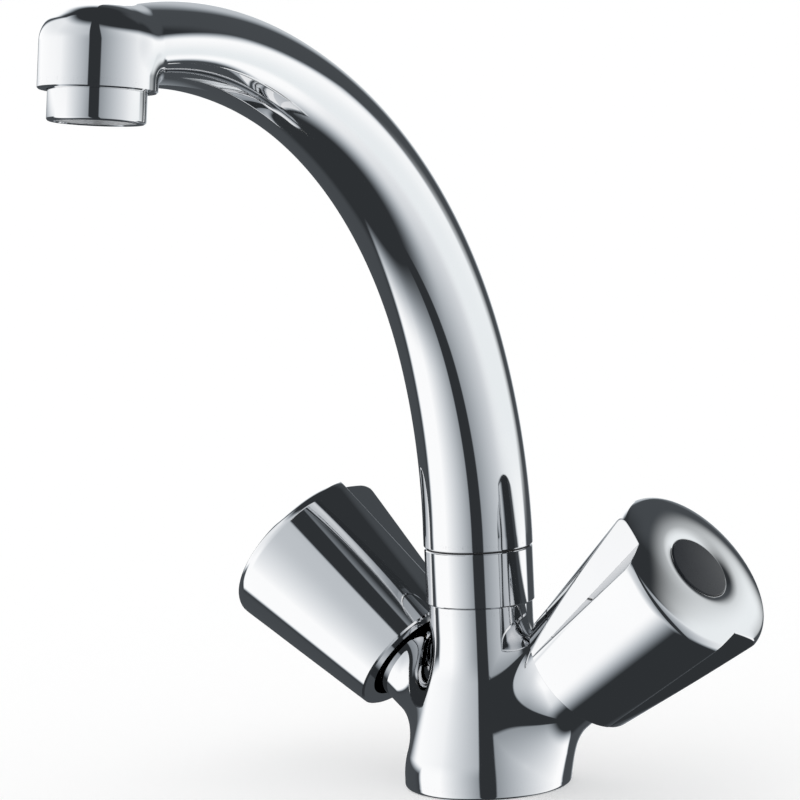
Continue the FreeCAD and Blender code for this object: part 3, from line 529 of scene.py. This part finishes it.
def aerator_profile():
    """Ring under the head, from its bore round the outside to its threaded neck."""
    foot, ledge = -AERATOR_DROP, LIP_RECESS_DEPTH - AERATOR_SLACK
    corner = (AERATOR_RADIUS - AERATOR_EDGE, foot + AERATOR_EDGE)
    profile = [(AERATOR_BORE, AERATOR_TOP), (AERATOR_BORE, foot + AERATOR_CHAMFER),
               (AERATOR_BORE + AERATOR_CHAMFER, foot), (corner[0], foot)]
    profile += arc_points(corner, AERATOR_EDGE, -80, 0, 6)
    return profile + [(AERATOR_RADIUS, ledge), (AERATOR_NECK, ledge),
                      (AERATOR_NECK, AERATOR_TOP), (AERATOR_BORE, AERATOR_TOP)]


def build_spout(chrome):
    points, faces, normals = spout_skin()
    skin = mesh_piece("spout_skin", points, faces, "spout_body", chrome, normals)
    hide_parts("spout")
    tilt = Matrix.Translation(Vector(HEAD_FOOT)) @ Matrix.Rotation(-HEAD_TILT, 4, "X")
    lip_points, lip_faces = lathe(lip_profile())
    points, faces = joined([lathe(seat_profile()), (moved(lip_points, tilt), lip_faces)])
    ends = mesh_piece("spout_ends", points, faces, "spout_body", chrome)
    harden(ends)
    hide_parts("spout")
    ring_points, ring_faces = lathe(aerator_profile())
    aerator = mesh_piece("aerator_shell", moved(ring_points, tilt), ring_faces,
                         "spout_body", chrome)
    harden(aerator)
    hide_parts("aerator_ring")


def build_collar(chrome):
    bore, edge = SPIGOT_RADIUS + COLLAR_SLACK, SEAM_CHAMFER
    under_lip = COLLAR_TOP - COLLAR_LIP_HEIGHT
    profile = [(bore, NECK_HEIGHT), (COLLAR_RADIUS - edge, NECK_HEIGHT),
               (COLLAR_RADIUS, NECK_HEIGHT + edge), (COLLAR_RADIUS, COLLAR_TOP - edge),
               (COLLAR_RADIUS - edge, COLLAR_TOP), (COLLAR_LIP_BORE, COLLAR_TOP),
               (COLLAR_LIP_BORE, under_lip), (bore, under_lip), (bore, NECK_HEIGHT)]
    points, faces = lathe(profile)
    collar = mesh_piece("collar_shell", points, faces, "fixture", chrome)
    harden(collar)
    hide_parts("collar_nut")


# ---- handles ----

GROOVE_START = np.array([12.86, 15.32, HANDLE_START])
GROOVE_END = np.array([11.82, 18.91, HANDLE_TOP])
GROOVE_RUN = GROOVE_END - GROOVE_START
NEAR_ANGLE = math.radians(7.5)
FAR_ANGLE = math.radians(43.3)
EDGE_ROUNDING = 0.3
CONE_PITCH = (HANDLE_RIM_RADIUS - HANDLE_INNER) / (HANDLE_RIM - HANDLE_START)
SIDE_ROWS, RIM_ROWS, CAP_ROWS, DISH_ROWS = 44, 16, 26, 14
SIDE_CROWDING = 0.8
DISH_BRINK = DISH_START + 1


def groove_walls():
    """Directions of a groove's two walls across the handle, the one on the lobe's side first."""
    near = np.array([math.cos(NEAR_ANGLE), -math.sin(NEAR_ANGLE), 0.0])
    far = np.array([-math.sin(FAR_ANGLE), math.cos(FAR_ANGLE), 0.0])
    return near, far


def groove_normals():
    near, far = groove_walls()
    near_normal, far_normal = np.cross(GROOVE_RUN, near), np.cross(far, GROOVE_RUN)
    return near_normal / np.linalg.norm(near_normal), far_normal / np.linalg.norm(far_normal)


NEAR_NORMAL, FAR_NORMAL = groove_normals()


def cap_height(radial):
    """Height of the cap's face: a ring crest round the button that falls away to the rim."""
    fall = CAP_CURVE * np.maximum(radial - DISH_START, 0) ** 2
    dip = DISH_DEPTH * np.clip((DISH_START - radial) / (DISH_START - DISH_END), 0, 1) ** 2
    return CAP_CREST - fall - dip


def cap_steepness(radial):
    return np.hypot(1, 2 * CAP_CURVE * np.maximum(radial - DISH_START, 0))


def knob_field(points):
    radial = np.hypot(points[..., 0], points[..., 1])
    height = points[..., 2]
    cone = radial - HANDLE_INNER - CONE_PITCH * (height - HANDLE_START)
    cone = cone / math.hypot(1, CONE_PITCH)
    cap = (height - cap_height(radial)) / cap_steepness(radial)
    return round_cut(cone, cap, RIM_ROUNDING)


def handle_field(points):
    """Knob with two mirrored V grooves, in the handle's own frame."""
    mirrored = points.copy()
    mirrored[..., 1] = np.abs(points[..., 1])
    away = mirrored - GROOVE_START
    groove = np.minimum(away @ NEAR_NORMAL, away @ FAR_NORMAL)
    return round_cut(knob_field(points), groove, EDGE_ROUNDING)


def rim_centre():
    """Middle of the rim's rounding, which touches both the cone and the cap."""
    radius = HANDLE_RIM_RADIUS - RIM_ROUNDING
    for _ in range(20):
        height = cap_height(radius) - RIM_ROUNDING * cap_steepness(radius)
        cone = HANDLE_INNER + CONE_PITCH * (height - HANDLE_START)
        radius = cone - RIM_ROUNDING * math.hypot(1, CONE_PITCH)
    return float(radius), float(height)


def handle_profile():
    """Stations (radius, height) from the skirt up the cone, round the rim and in over the cap."""
    centre = rim_centre()
    lean = math.degrees(math.atan(CONE_PITCH))
    crown = 90 - math.degrees(math.atan(2 * CAP_CURVE * (centre[0] - DISH_START)))
    rim = arc_points(centre, RIM_ROUNDING, -lean, crown, RIM_ROWS)
    side = []
    for share in np.linspace(0, 1, SIDE_ROWS)[:-1] ** SIDE_CROWDING:
        height = HANDLE_START + SKIRT_BEVEL + share * (rim[0][1] - HANDLE_START - SKIRT_BEVEL)
        side.append((HANDLE_INNER + CONE_PITCH * (height - HANDLE_START), height))
    radii = np.concatenate([np.linspace(rim[-1][0], DISH_BRINK, CAP_ROWS)[1:],
                            np.linspace(DISH_BRINK, DISH_END, DISH_ROWS)[1:]])
    return side + rim + [(radius, float(cap_height(radius))) for radius in radii]


def groove_corners(radius, height):
    """Near edge, floor and far edge of a groove across one station, or nothing past its floor."""
    share = (height - HANDLE_START) / (HANDLE_TOP - HANDLE_START)
    floor = (GROOVE_START + share * GROOVE_RUN)[:2]
    if np.hypot(*floor) > radius - 1e-3:
        return None
    corners = []
    for wall in groove_walls():
        along = floor @ wall[:2]
        reach = -along + math.sqrt(along * along + radius * radius - floor @ floor)
        corners.append(floor + reach * wall[:2])
    return corners[0], floor, corners[1]


def crowded(start, end, cells):
    """Steps from start to end that crowd at both ends, without the last one."""
    share = 0.5 - 0.5 * np.cos(np.linspace(0, math.pi, cells + 1)[:-1])
    return start + np.multiply.outer(share, np.asarray(end) - np.asarray(start))


LOBE_CELLS, NEAR_CELLS, FAR_CELLS, BACK_CELLS = 44, 18, 22, 64


def circle_points(angles, radius):
    return np.stack([radius * np.cos(angles), radius * np.sin(angles)], axis=1)


BREAKOUT_ANGLE = math.atan2(GROOVE_END[1], GROOVE_END[0])
BREAKOUT_RADIUS = math.hypot(GROOVE_END[0], GROOVE_END[1])
CLOSED_SPREAD = 0.004
SPREAD_GROWTH = 0.006
HANDLE_ROUNDS, HANDLE_STRIDE = 12, 0.12


def ring_points(radius, height):
    """One row round the handle; past the groove its three columns close up and open slowly."""
    corners = groove_corners(radius, height)
    if corners is None:
        spread = CLOSED_SPREAD + SPREAD_GROWTH * max(BREAKOUT_RADIUS - radius, 0)
        near, floor, far = BREAKOUT_ANGLE - spread, BREAKOUT_ANGLE, BREAKOUT_ANGLE + spread
    else:
        near, floor, far = (math.atan2(c[1], c[0]) for c in corners)
    lobe = circle_points(crowded(-near, near, LOBE_CELLS), radius)
    back = circle_points(crowded(far, 2 * math.pi - far, BACK_CELLS), radius)
    if corners is None:
        walls = [circle_points(crowded(near, floor, NEAR_CELLS), radius),
                 circle_points(crowded(floor, far, FAR_CELLS), radius),
                 circle_points(crowded(-far, -floor, FAR_CELLS), radius),
                 circle_points(crowded(-floor, -near, NEAR_CELLS), radius)]
    else:
        flip = np.array([1, -1])
        a, b, c = corners
        walls = [crowded(a, b, NEAR_CELLS), crowded(b, c, FAR_CELLS),
                 crowded(c * flip, b * flip, FAR_CELLS), crowded(b * flip, a * flip, NEAR_CELLS)]
    row = np.concatenate([lobe, walls[0], walls[1], back, walls[2], walls[3]])
    return np.column_stack([row, np.full(len(row), height)])


def handle_skin():
    """Points, quads and normals of the grooved skin, in the handle's own frame."""
    rows = [ring_points(radius, height) for radius, height in handle_profile()]
    points, normals = settle(handle_field, np.concatenate(rows), HANDLE_ROUNDS, HANDLE_STRIDE)
    return points, grid_faces(len(rows), len(rows[0])), normals


def skirt_profile():
    """Foot of the knob and the hollow that goes over the arm's end."""
    return [(SHAFT_RADIUS, SKIRT_TOP), (SKIRT_BORE, SKIRT_TOP), (SKIRT_BORE, HANDLE_START),
            (HANDLE_INNER - SKIRT_BEVEL, HANDLE_START), (HANDLE_INNER, HANDLE_START + SKIRT_BEVEL)]


def recess_profile():
    """Recess in the cap that takes the button."""
    top = CAP_CREST - DISH_DEPTH
    return [(DISH_END, top), (RECESS_RADIUS + RECESS_EDGE, top), (RECESS_RADIUS, top - RECESS_EDGE),
            (RECESS_RADIUS, RECESS_FLOOR), (0.0, RECESS_FLOOR)]


def button_profile():
    """Side, bevelled edge and shallow dome of an index button."""
    crown = (BUTTON_RADIUS ** 2 + BUTTON_DOME ** 2) / (2 * BUTTON_DOME)
    foot = RECESS_FLOOR + BUTTON_LIFT
    profile = [(0.0, foot), (BUTTON_RADIUS, foot), (BUTTON_RADIUS, BUTTON_EDGE - BUTTON_BEVEL)]
    for radius in np.linspace(BUTTON_RADIUS - BUTTON_BEVEL, 0, 16):
        drop = crown - math.sqrt(crown ** 2 - radius ** 2)
        profile.append((radius, BUTTON_EDGE + BUTTON_DOME - drop))
    return profile


def build_handles(chrome, index_materials):
    points, faces, normals = handle_skin()
    hidden, hidden_faces = joined([lathe(skirt_profile()), lathe(recess_profile())])
    button, button_faces = lathe(button_profile(), 96)
    for side, sign in SIDES.items():
        control = f"{side}_control"
        place = arm_matrix(sign, GROOVE_TURN[side])
        turn = np.array(place.to_3x3())
        skin = mesh_piece(f"{side}_handle_skin", moved(points, place), faces, control,
                          chrome, normals @ turn.T)
        ends = mesh_piece(f"{side}_handle_ends", moved(hidden, place), hidden_faces, control,
                          chrome)
        harden(ends)
        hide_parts(f"{side}_handle")
        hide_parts(f"{side}_handle")
        cap = mesh_piece(f"{side}_index", moved(button, place), button_faces, control,
                         index_materials[side])
        harden(cap)
        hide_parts(f"{side}_button")


# ---- node graphs ----

class Graph:
    """Short calls that add nodes to a tree; every argument is a number, a vector or a socket."""

    def __init__(self, tree):
        self.tree = tree

    def node(self, kind, **settings):
        made = self.tree.nodes.new(kind)
        for name, value in settings.items():
            setattr(made, name, value)
        return made

    def feed(self, socket, value):
        if isinstance(value, bpy.types.NodeSocket):
            self.tree.links.new(value, socket)
        else:
            socket.default_value = value

    def math(self, operation, *values):
        made = self.node("ShaderNodeMath", operation=operation)
        for socket, value in zip(made.inputs, values):
            self.feed(socket, value)
        return made.outputs[0]

    def dot(self, vector, direction):
        made = self.node("ShaderNodeVectorMath", operation="DOT_PRODUCT")
        self.feed(made.inputs[0], vector)
        self.feed(made.inputs[1], direction)
        return made.outputs["Value"]

    def ramp(self, value, start, end, low=0.0, high=1.0, kind="SMOOTHSTEP"):
        """Value remapped from start..end to low..high and held beyond both."""
        made = self.node("ShaderNodeMapRange", clamp=True, interpolation_type=kind)
        for socket, number in zip(made.inputs, (value, start, end, low, high)):
            self.feed(socket, number)
        return made.outputs[0]

    def grade(self, value, start, end, low, high):
        """Straight ramp, without the soft ends."""
        return self.ramp(value, start, end, low, high, "LINEAR")

    def product(self, *values):
        total = values[0]
        for value in values[1:]:
            total = self.math("MULTIPLY", total, value)
        return total

    def highest(self, *values):
        total = values[0]
        for value in values[1:]:
            total = self.math("MAXIMUM", total, value)
        return total

    def mix(self, share, first, second):
        made = self.node("ShaderNodeMix", data_type="RGBA")
        self.feed(made.inputs["Factor"], share)
        self.feed(made.inputs[6], first)
        self.feed(made.inputs[7], second)
        return made.outputs[2]

    def noise(self, scale, detail=2.0, roughness=0.5, stretch=(1, 1, 1)):
        """Noise over the piece's own coordinates, finer along an axis that is stretched more."""
        place = self.node("ShaderNodeTexCoord").outputs["Object"]
        if stretch != (1, 1, 1):
            mapping = self.node("ShaderNodeMapping")
            self.feed(mapping.inputs["Vector"], place)
            mapping.inputs["Scale"].default_value = stretch
            place = mapping.outputs[0]
        made = self.node("ShaderNodeTexNoise")
        self.feed(made.inputs["Vector"], place)
        made.inputs["Scale"].default_value = scale
        made.inputs["Detail"].default_value = detail
        made.inputs["Roughness"].default_value = roughness
        return made.outputs["Fac"]

    def bump(self, height, distance, strength=1.0):
        made = self.node("ShaderNodeBump")
        made.inputs["Strength"].default_value = strength
        made.inputs["Distance"].default_value = distance
        self.feed(made.inputs["Height"], height)
        return made.outputs[0]


# ---- materials ----

def new_material(name, **sockets):
    """Material with a Principled shader whose even values are set on its own sockets."""
    material = bpy.data.materials.new(name)
    material.use_nodes = True
    shader = material.node_tree.nodes["Principled BSDF"]
    for socket, value in sockets.items():
        shader.inputs[socket.replace("_", " ")].default_value = value
    return material, shader, Graph(material.node_tree)


def two_tone(graph, shader, share, dark, light):
    graph.feed(shader.inputs["Base Color"], graph.mix(share, (*dark, 1), (*light, 1)))


def chrome_plate():
    """Mirror polished plate with the faint haze and ripple of a polished casting."""
    material, shader, graph = new_material("chrome_plate", Metallic=1.0)
    haze = graph.noise(55.0, 3.0)
    two_tone(graph, shader, haze, (0.785, 0.79, 0.80), (0.815, 0.818, 0.825))
    graph.feed(shader.inputs["Roughness"], graph.ramp(haze, 0.35, 0.7, 0.018, 0.045))
    ripple = graph.noise(38.0, 1.0)
    graph.feed(shader.inputs["Normal"], graph.bump(ripple, 0.00002))
    return material


def index_plastic(name, dark, light):
    """Glossy moulded button, slightly mottled, under a clear skin."""
    material, shader, graph = new_material(name, Specular_IOR_Level=0.3, Coat_Weight=0.1,
                                           Coat_Roughness=0.05)
    mottle = graph.noise(420.0, 4.0)
    two_tone(graph, shader, mottle, dark, light)
    graph.feed(shader.inputs["Roughness"], graph.ramp(mottle, 0.3, 0.7, 0.10, 0.2))
    graph.feed(shader.inputs["Normal"], graph.bump(graph.noise(900.0), 0.000004))
    return material


def turned_metal(name, dark, light, roughness=0.28):
    """Machined metal with fine rings of tool marks round the upright axis."""
    material, shader, graph = new_material(name, Metallic=1.0)
    marks = graph.noise(1.0, 3.0, 0.6, (60.0, 60.0, 5200.0))
    two_tone(graph, shader, marks, dark, light)
    graph.feed(shader.inputs["Roughness"], graph.ramp(marks, 0.2, 0.8, roughness - 0.08,
                                                      roughness + 0.08))
    graph.feed(shader.inputs["Normal"], graph.bump(marks, 0.00001))
    return material


def plated_steel():
    """Zinc plate: fine grain under a cloudy passivated skin."""
    material, shader, graph = new_material("zinc_plate", Metallic=1.0)
    cloud = graph.noise(160.0, 5.0, 0.6)
    two_tone(graph, shader, cloud, (0.52, 0.50, 0.44), (0.68, 0.68, 0.66))
    graph.feed(shader.inputs["Roughness"], graph.ramp(cloud, 0.25, 0.75, 0.26, 0.42))
    graph.feed(shader.inputs["Normal"], graph.bump(graph.noise(2600.0), 0.000008))
    return material


def lapped_ceramic():
    """White alumina, lapped smooth with a barely seen grain."""
    material, shader, graph = new_material("lapped_ceramic", Coat_Weight=0.3, Coat_Roughness=0.08)
    grain = graph.noise(1500.0, 3.0)
    two_tone(graph, shader, grain, (0.86, 0.85, 0.81), (0.92, 0.91, 0.88))
    graph.feed(shader.inputs["Roughness"], graph.ramp(grain, 0.3, 0.7, 0.16, 0.26))
    return material


def moulded(name, dark, light, roughness, scale=1800.0, depth=0.00001):
    """Moulded rubber or plastic with a fine matt grain."""
    material, shader, graph = new_material(name)
    grain = graph.noise(scale, 4.0, 0.6)
    two_tone(graph, shader, grain, dark, light)
    graph.feed(shader.inputs["Roughness"], graph.ramp(grain, 0.3, 0.7, roughness - 0.08,
                                                      roughness + 0.08))
    graph.feed(shader.inputs["Normal"], graph.bump(grain, depth))
    return material


def build_materials():
    """One material for each slot of the record."""
    slate, slate_light = (0.014, 0.016, 0.020), (0.022, 0.025, 0.031)
    return {"chrome": chrome_plate(),
            "hot_index": index_plastic("hot_index_gloss", slate, slate_light),
            "cold_index": index_plastic("cold_index_gloss", slate, slate_light),
            "brass": turned_metal("turned_brass", (0.62, 0.44, 0.20), (0.78, 0.60, 0.32)),
            "ceramic": lapped_ceramic(),
            "seal_rubber": moulded("seal_rubber", (0.014, 0.014, 0.015), (0.030, 0.030, 0.031), 0.55),
            "plated_steel": plated_steel(),
            "spring_steel": turned_metal("spring_steel", (0.42, 0.42, 0.43), (0.58, 0.58, 0.59), 0.3),
            "aerator_plastic": moulded("aerator_plastic", (0.46, 0.47, 0.48), (0.58, 0.59, 0.60), 0.4),
            "dark_nylon": moulded("dark_nylon", (0.02, 0.02, 0.021), (0.04, 0.04, 0.042), 0.42)}


def dress_nodes(materials):
    """Give every CAD node that stays its slot's material."""
    for part in frame["record"]["subparts"]:
        mesh = frame["nodes"][part["node"]].data
        mesh.materials.clear()
        mesh.materials.append(materials[part["material_slot"]])


# ---- light ----

# Edges are soft, each given as where its ramp starts and where it ends, in degrees. Azimuth
# is nought towards the photograph's viewpoint and grows to the right; elevation is above level.
# LEFT_REACH and the first edge of BACKDROP_LEFT are azimuth less elevation.
VIEW_RIGHT = (0.7994, 0.6008, 0.0)
VIEW_TOWARD = (0.6008, -0.7994, 0.0)

DIM_GLOW = 0.34
FULL_GLOW = 1.2

LEFT_SLIT = (-12.5, -15.5)
LEFT_END = (-115, -106)
LEFT_REACH = (-166, -158)
LEFT_REACH_FOOT = (-5, 4)
LEFT_HEIGHT = ((-70, -36), (69, 46))
LEFT_UPPER = (0, 32)
LEFT_LOW_GRADE = (-13, -72, DIM_GLOW, FULL_GLOW)
LEFT_HIGH_GRADE = (-10, -90, 0.60, 1.0)

RIGHT_WIDTH = ((7.5, 11), (124, 116))
RIGHT_FOOT = (-70, -38)
RIGHT_HEAD = (66, 46)
RIGHT_HEAD_SLOPE = 0.38
RIGHT_GRADE = (8, 104, DIM_GLOW, FULL_GLOW)

BACKDROP_HEIGHT = ((-45, 2), (62, 38))
BACKDROP_LEFT = ((-167, -171), (-120, -140))
BACKDROP_RIGHT = ((150, 172), (45, 20))
BACKDROP_DIM = 0.6

CARDS_FROM = (95, 125)
CARDS_HEIGHT = ((-70, -46), (72, 42))
SLATE = 0.078
DARK_CARD = 0.037
DARK_TINT = (0.89, 1.0, 1.11)
DOME_LIGHT = 0.9
WHITE = (1, 1, 1, 1)


def window(graph, value, rise, fall):
    """One between two soft edges, each given as where it starts and where it ends."""
    return graph.product(graph.ramp(value, *rise), graph.ramp(value, *fall))


def left_box(graph, azimuth, elevation):
    """Large box at the left: strongly graded low down, more even and reaching round higher up."""
    upper = graph.ramp(elevation, *LEFT_UPPER)
    low_glow = graph.product(graph.grade(azimuth, *LEFT_LOW_GRADE),
                             graph.math("SUBTRACT", 1.0, upper))
    high_glow = graph.product(graph.grade(azimuth, *LEFT_HIGH_GRADE), upper)
    glow = graph.math("ADD", low_glow, high_glow)
    far_side = graph.math("SUBTRACT", azimuth, elevation)
    reach = graph.highest(graph.ramp(azimuth, *LEFT_END),
                          graph.product(graph.ramp(far_side, *LEFT_REACH),
                                        graph.ramp(elevation, *LEFT_REACH_FOOT)))
    return graph.product(reach, graph.ramp(azimuth, *LEFT_SLIT),
                         window(graph, elevation, *LEFT_HEIGHT), glow)


def right_box(graph, azimuth, elevation):
    """Box at the right, brighter away from the camera, its upper edge sloping down outwards."""
    glow = graph.grade(azimuth, *RIGHT_GRADE)
    slope = graph.math("ADD", elevation, graph.product(azimuth, RIGHT_HEAD_SLOPE))
    sides = window(graph, azimuth, *RIGHT_WIDTH)
    rise = graph.product(graph.ramp(elevation, *RIGHT_FOOT), graph.ramp(slope, *RIGHT_HEAD))
    return graph.product(sides, rise, glow)


def backdrop(graph, azimuth, elevation):
    """Pale sheet behind the object, full at the left of its middle and dimmer at the right."""
    far_side = graph.math("SUBTRACT", azimuth, elevation)
    left = graph.product(graph.ramp(far_side, *BACKDROP_LEFT[0]),
                         graph.ramp(azimuth, *BACKDROP_LEFT[1]), FULL_GLOW)
    right = graph.product(graph.ramp(azimuth, *BACKDROP_RIGHT[0]),
                          graph.ramp(elevation, *BACKDROP_RIGHT[1]), BACKDROP_DIM)
    return graph.product(window(graph, elevation, *BACKDROP_HEIGHT), graph.highest(left, right))


def studio_light(graph):
    """What a mirror sees: graded soft boxes, a pale backdrop and dark cards between them."""
    direction = graph.node("ShaderNodeTexCoord").outputs["Generated"]
    side, toward = graph.dot(direction, VIEW_RIGHT), graph.dot(direction, VIEW_TOWARD)
    azimuth = graph.math("DEGREES", graph.math("ARCTAN2", side, toward))
    elevation = graph.math("DEGREES", graph.math("ARCSINE", graph.dot(direction, (0, 0, 1))))
    cards = graph.product(graph.ramp(graph.math("ABSOLUTE", azimuth), *CARDS_FROM),
                          window(graph, elevation, *CARDS_HEIGHT), SLATE)
    return graph.highest(left_box(graph, azimuth, elevation),
                         right_box(graph, azimuth, elevation),
                         backdrop(graph, azimuth, elevation), cards, DARK_CARD)


BOX_DISTANCE = 0.22
BOX_WIDTH = 0.44
BOX_FOOT = 0.03
BOX_HEAD = 0.27
BOX_COLOUR = (0.95, 0.985, 1.0, 1)
BOX_STRENGTH = 1.05
BOX_SIDE_FADE = ((0.0, 0.35), (1.0, 0.7))
BOX_END_FADE = ((0.0, 0.25), (1.0, 0.3))


def near_box_light():
    """Material of a soft box: a glow that fades out towards the sheet's edges."""
    material = bpy.data.materials.new("near_box_light")
    material.use_nodes = True
    material.node_tree.nodes.clear()
    graph = Graph(material.node_tree)
    place = graph.node("ShaderNodeSeparateXYZ")
    graph.feed(place.inputs[0], graph.node("ShaderNodeTexCoord").outputs["UV"])
    share = graph.product(window(graph, place.outputs["X"], *BOX_SIDE_FADE),
                          window(graph, place.outputs["Y"], *BOX_END_FADE))
    emission = graph.node("ShaderNodeEmission")
    emission.inputs["Color"].default_value = BOX_COLOUR
    emission.inputs["Strength"].default_value = BOX_STRENGTH
    mixed = graph.node("ShaderNodeMixShader")
    graph.feed(mixed.inputs[0], share)
    graph.feed(mixed.inputs[1], graph.node("ShaderNodeBsdfTransparent").outputs[0])
    graph.feed(mixed.inputs[2], emission.outputs[0])
    output = graph.node("ShaderNodeOutputMaterial")
    graph.feed(output.inputs["Surface"], mixed.outputs[0])
    return material


def build_near_box():
    """Soft box standing close by the right handle, seen in the mirror surfaces alone."""
    outward = Vector(VIEW_RIGHT)
    along = Vector((0, 0, 1)).cross(outward)
    centre = outward * BOX_DISTANCE
    half = BOX_WIDTH / 2
    corners = [centre + along * x * half + Vector((0, 0, z))
               for x, z in ((-1, BOX_FOOT), (1, BOX_FOOT), (1, BOX_HEAD), (-1, BOX_HEAD))]
    mesh = bpy.data.meshes.new("near_box")
    mesh.from_pydata([tuple(c) for c in corners], [], [(0, 1, 2, 3)])
    layer = mesh.uv_layers.new(name="sheet")
    for loop, place in zip(layer.data, ((0, 0), (1, 0), (1, 1), (0, 1))):
        loop.uv = place
    mesh.materials.append(near_box_light())
    box = bpy.data.objects.new("near_box", mesh)
    bpy.context.scene.collection.objects.link(box)
    box.visible_camera = False
    box.visible_diffuse = False
    box.visible_transmission = False
    box.visible_shadow = False


def build_world():
    """White to the camera, the studio to mirrors and an even dome to everything matt."""
    world = bpy.data.worlds.new("studio")
    bpy.context.scene.world = world
    world.use_nodes = True
    world.node_tree.nodes.clear()
    graph = Graph(world.node_tree)
    rays = graph.node("ShaderNodeLightPath").outputs
    seen = studio_light(graph)
    tint = graph.mix(graph.grade(seen, 0.0, FULL_GLOW, 0.0, 1.0), (*DARK_TINT, 1), WHITE)
    tinted = graph.node("ShaderNodeVectorMath", operation="SCALE")
    graph.feed(tinted.inputs[0], tint)
    graph.feed(tinted.inputs["Scale"], seen)
    dome = (DOME_LIGHT, DOME_LIGHT, DOME_LIGHT, 1)
    matt = graph.mix(rays["Is Diffuse Ray"], tinted.outputs[0], dome)
    open_air = graph.highest(rays["Is Camera Ray"], rays["Is Transmission Ray"])
    colour = graph.mix(open_air, matt, WHITE)
    background = graph.node("ShaderNodeBackground")
    graph.feed(background.inputs["Color"], colour)
    output = graph.node("ShaderNodeOutputWorld")
    graph.feed(output.inputs["Surface"], background.outputs[0])


FLOOR_SIZE = 60.0
FLOOR_DROP = 0.0001
FLOOR_ALBEDO = 0.8
FLOOR_MOTTLE = 0.005


def floor_material():
    """Pale sheet with a little glow for the camera, so that unshaded it shows plain white."""
    material, shader, graph = new_material("pale_floor", Roughness=0.9, Specular_IOR_Level=0.0)
    speckle = graph.noise(900.0, 3.0)
    two_tone(graph, shader, speckle, [FLOOR_ALBEDO - FLOOR_MOTTLE] * 3,
             [FLOOR_ALBEDO + FLOOR_MOTTLE] * 3)
    emission = graph.node("ShaderNodeEmission")
    emission.inputs["Color"].default_value = WHITE
    white_share = 1.0 - FLOOR_ALBEDO * DOME_LIGHT
    rays = graph.node("ShaderNodeLightPath").outputs
    open_air = graph.highest(rays["Is Camera Ray"], rays["Is Transmission Ray"])
    graph.feed(emission.inputs["Strength"], graph.product(open_air, white_share))
    added = graph.node("ShaderNodeAddShader")
    graph.feed(added.inputs[0], shader.outputs[0])
    graph.feed(added.inputs[1], emission.outputs[0])
    graph.feed(material.node_tree.nodes["Material Output"].inputs["Surface"], added.outputs[0])
    return material


def build_floor():
    """Plain pale floor: white to the camera, darker only where the object shades it."""
    mesh = bpy.data.meshes.new("floor")
    half = FLOOR_SIZE / 2
    mesh.from_pydata([(-half, -half, 0), (half, -half, 0), (half, half, 0), (-half, half, 0)],
                     [], [(0, 1, 2, 3)])
    mesh.materials.append(floor_material())
    floor = bpy.data.objects.new("floor", mesh)
    floor.location.z = -FLOOR_DROP
    bpy.context.scene.collection.objects.link(floor)
    floor.visible_glossy = False


# ---- camera ----

VIEW_PITCH = math.radians(6.758)
VIEW_ROLL = math.radians(-2.672)
VIEW_DISTANCE = 1.11305
TARGET_HEIGHT = 0.116759
TARGET_SIDE = -0.021275
LENS = 168.75
SENSOR_WIDTH = 36.0


def build_camera():
    """Camera at the photograph's viewpoint, rolled a little as the photograph is."""
    right = Vector(VIEW_RIGHT)
    forward = (-Vector(VIEW_TOWARD) * math.cos(VIEW_PITCH)
               - Vector((0, 0, 1)) * math.sin(VIEW_PITCH)).normalized()
    up = right.cross(forward)
    turned_right = math.cos(VIEW_ROLL) * right + math.sin(VIEW_ROLL) * up
    turned_up = math.cos(VIEW_ROLL) * up - math.sin(VIEW_ROLL) * right
    target = right * TARGET_SIDE + Vector((0, 0, TARGET_HEIGHT))
    data = bpy.data.cameras.new("camera")
    data.lens = LENS
    data.sensor_width = SENSOR_WIDTH
    data.clip_end = 100.0
    camera = bpy.data.objects.new("camera", data)
    bpy.context.scene.collection.objects.link(camera)
    turn = Matrix((turned_right, turned_up, -forward)).transposed().to_4x4()
    camera.matrix_world = Matrix.Translation(target - forward * VIEW_DISTANCE) @ turn
    bpy.context.scene.camera = camera


materials = build_materials()
dress_nodes(materials)
build_camera()
build_body(materials["chrome"])
build_collar(materials["chrome"])
build_spout(materials["chrome"])
build_handles(materials["chrome"], {side: materials[f"{side}_index"] for side in SIDES})
build_world()
build_near_box()
build_floor()
bpy.context.scene.view_settings.view_transform = "Standard"
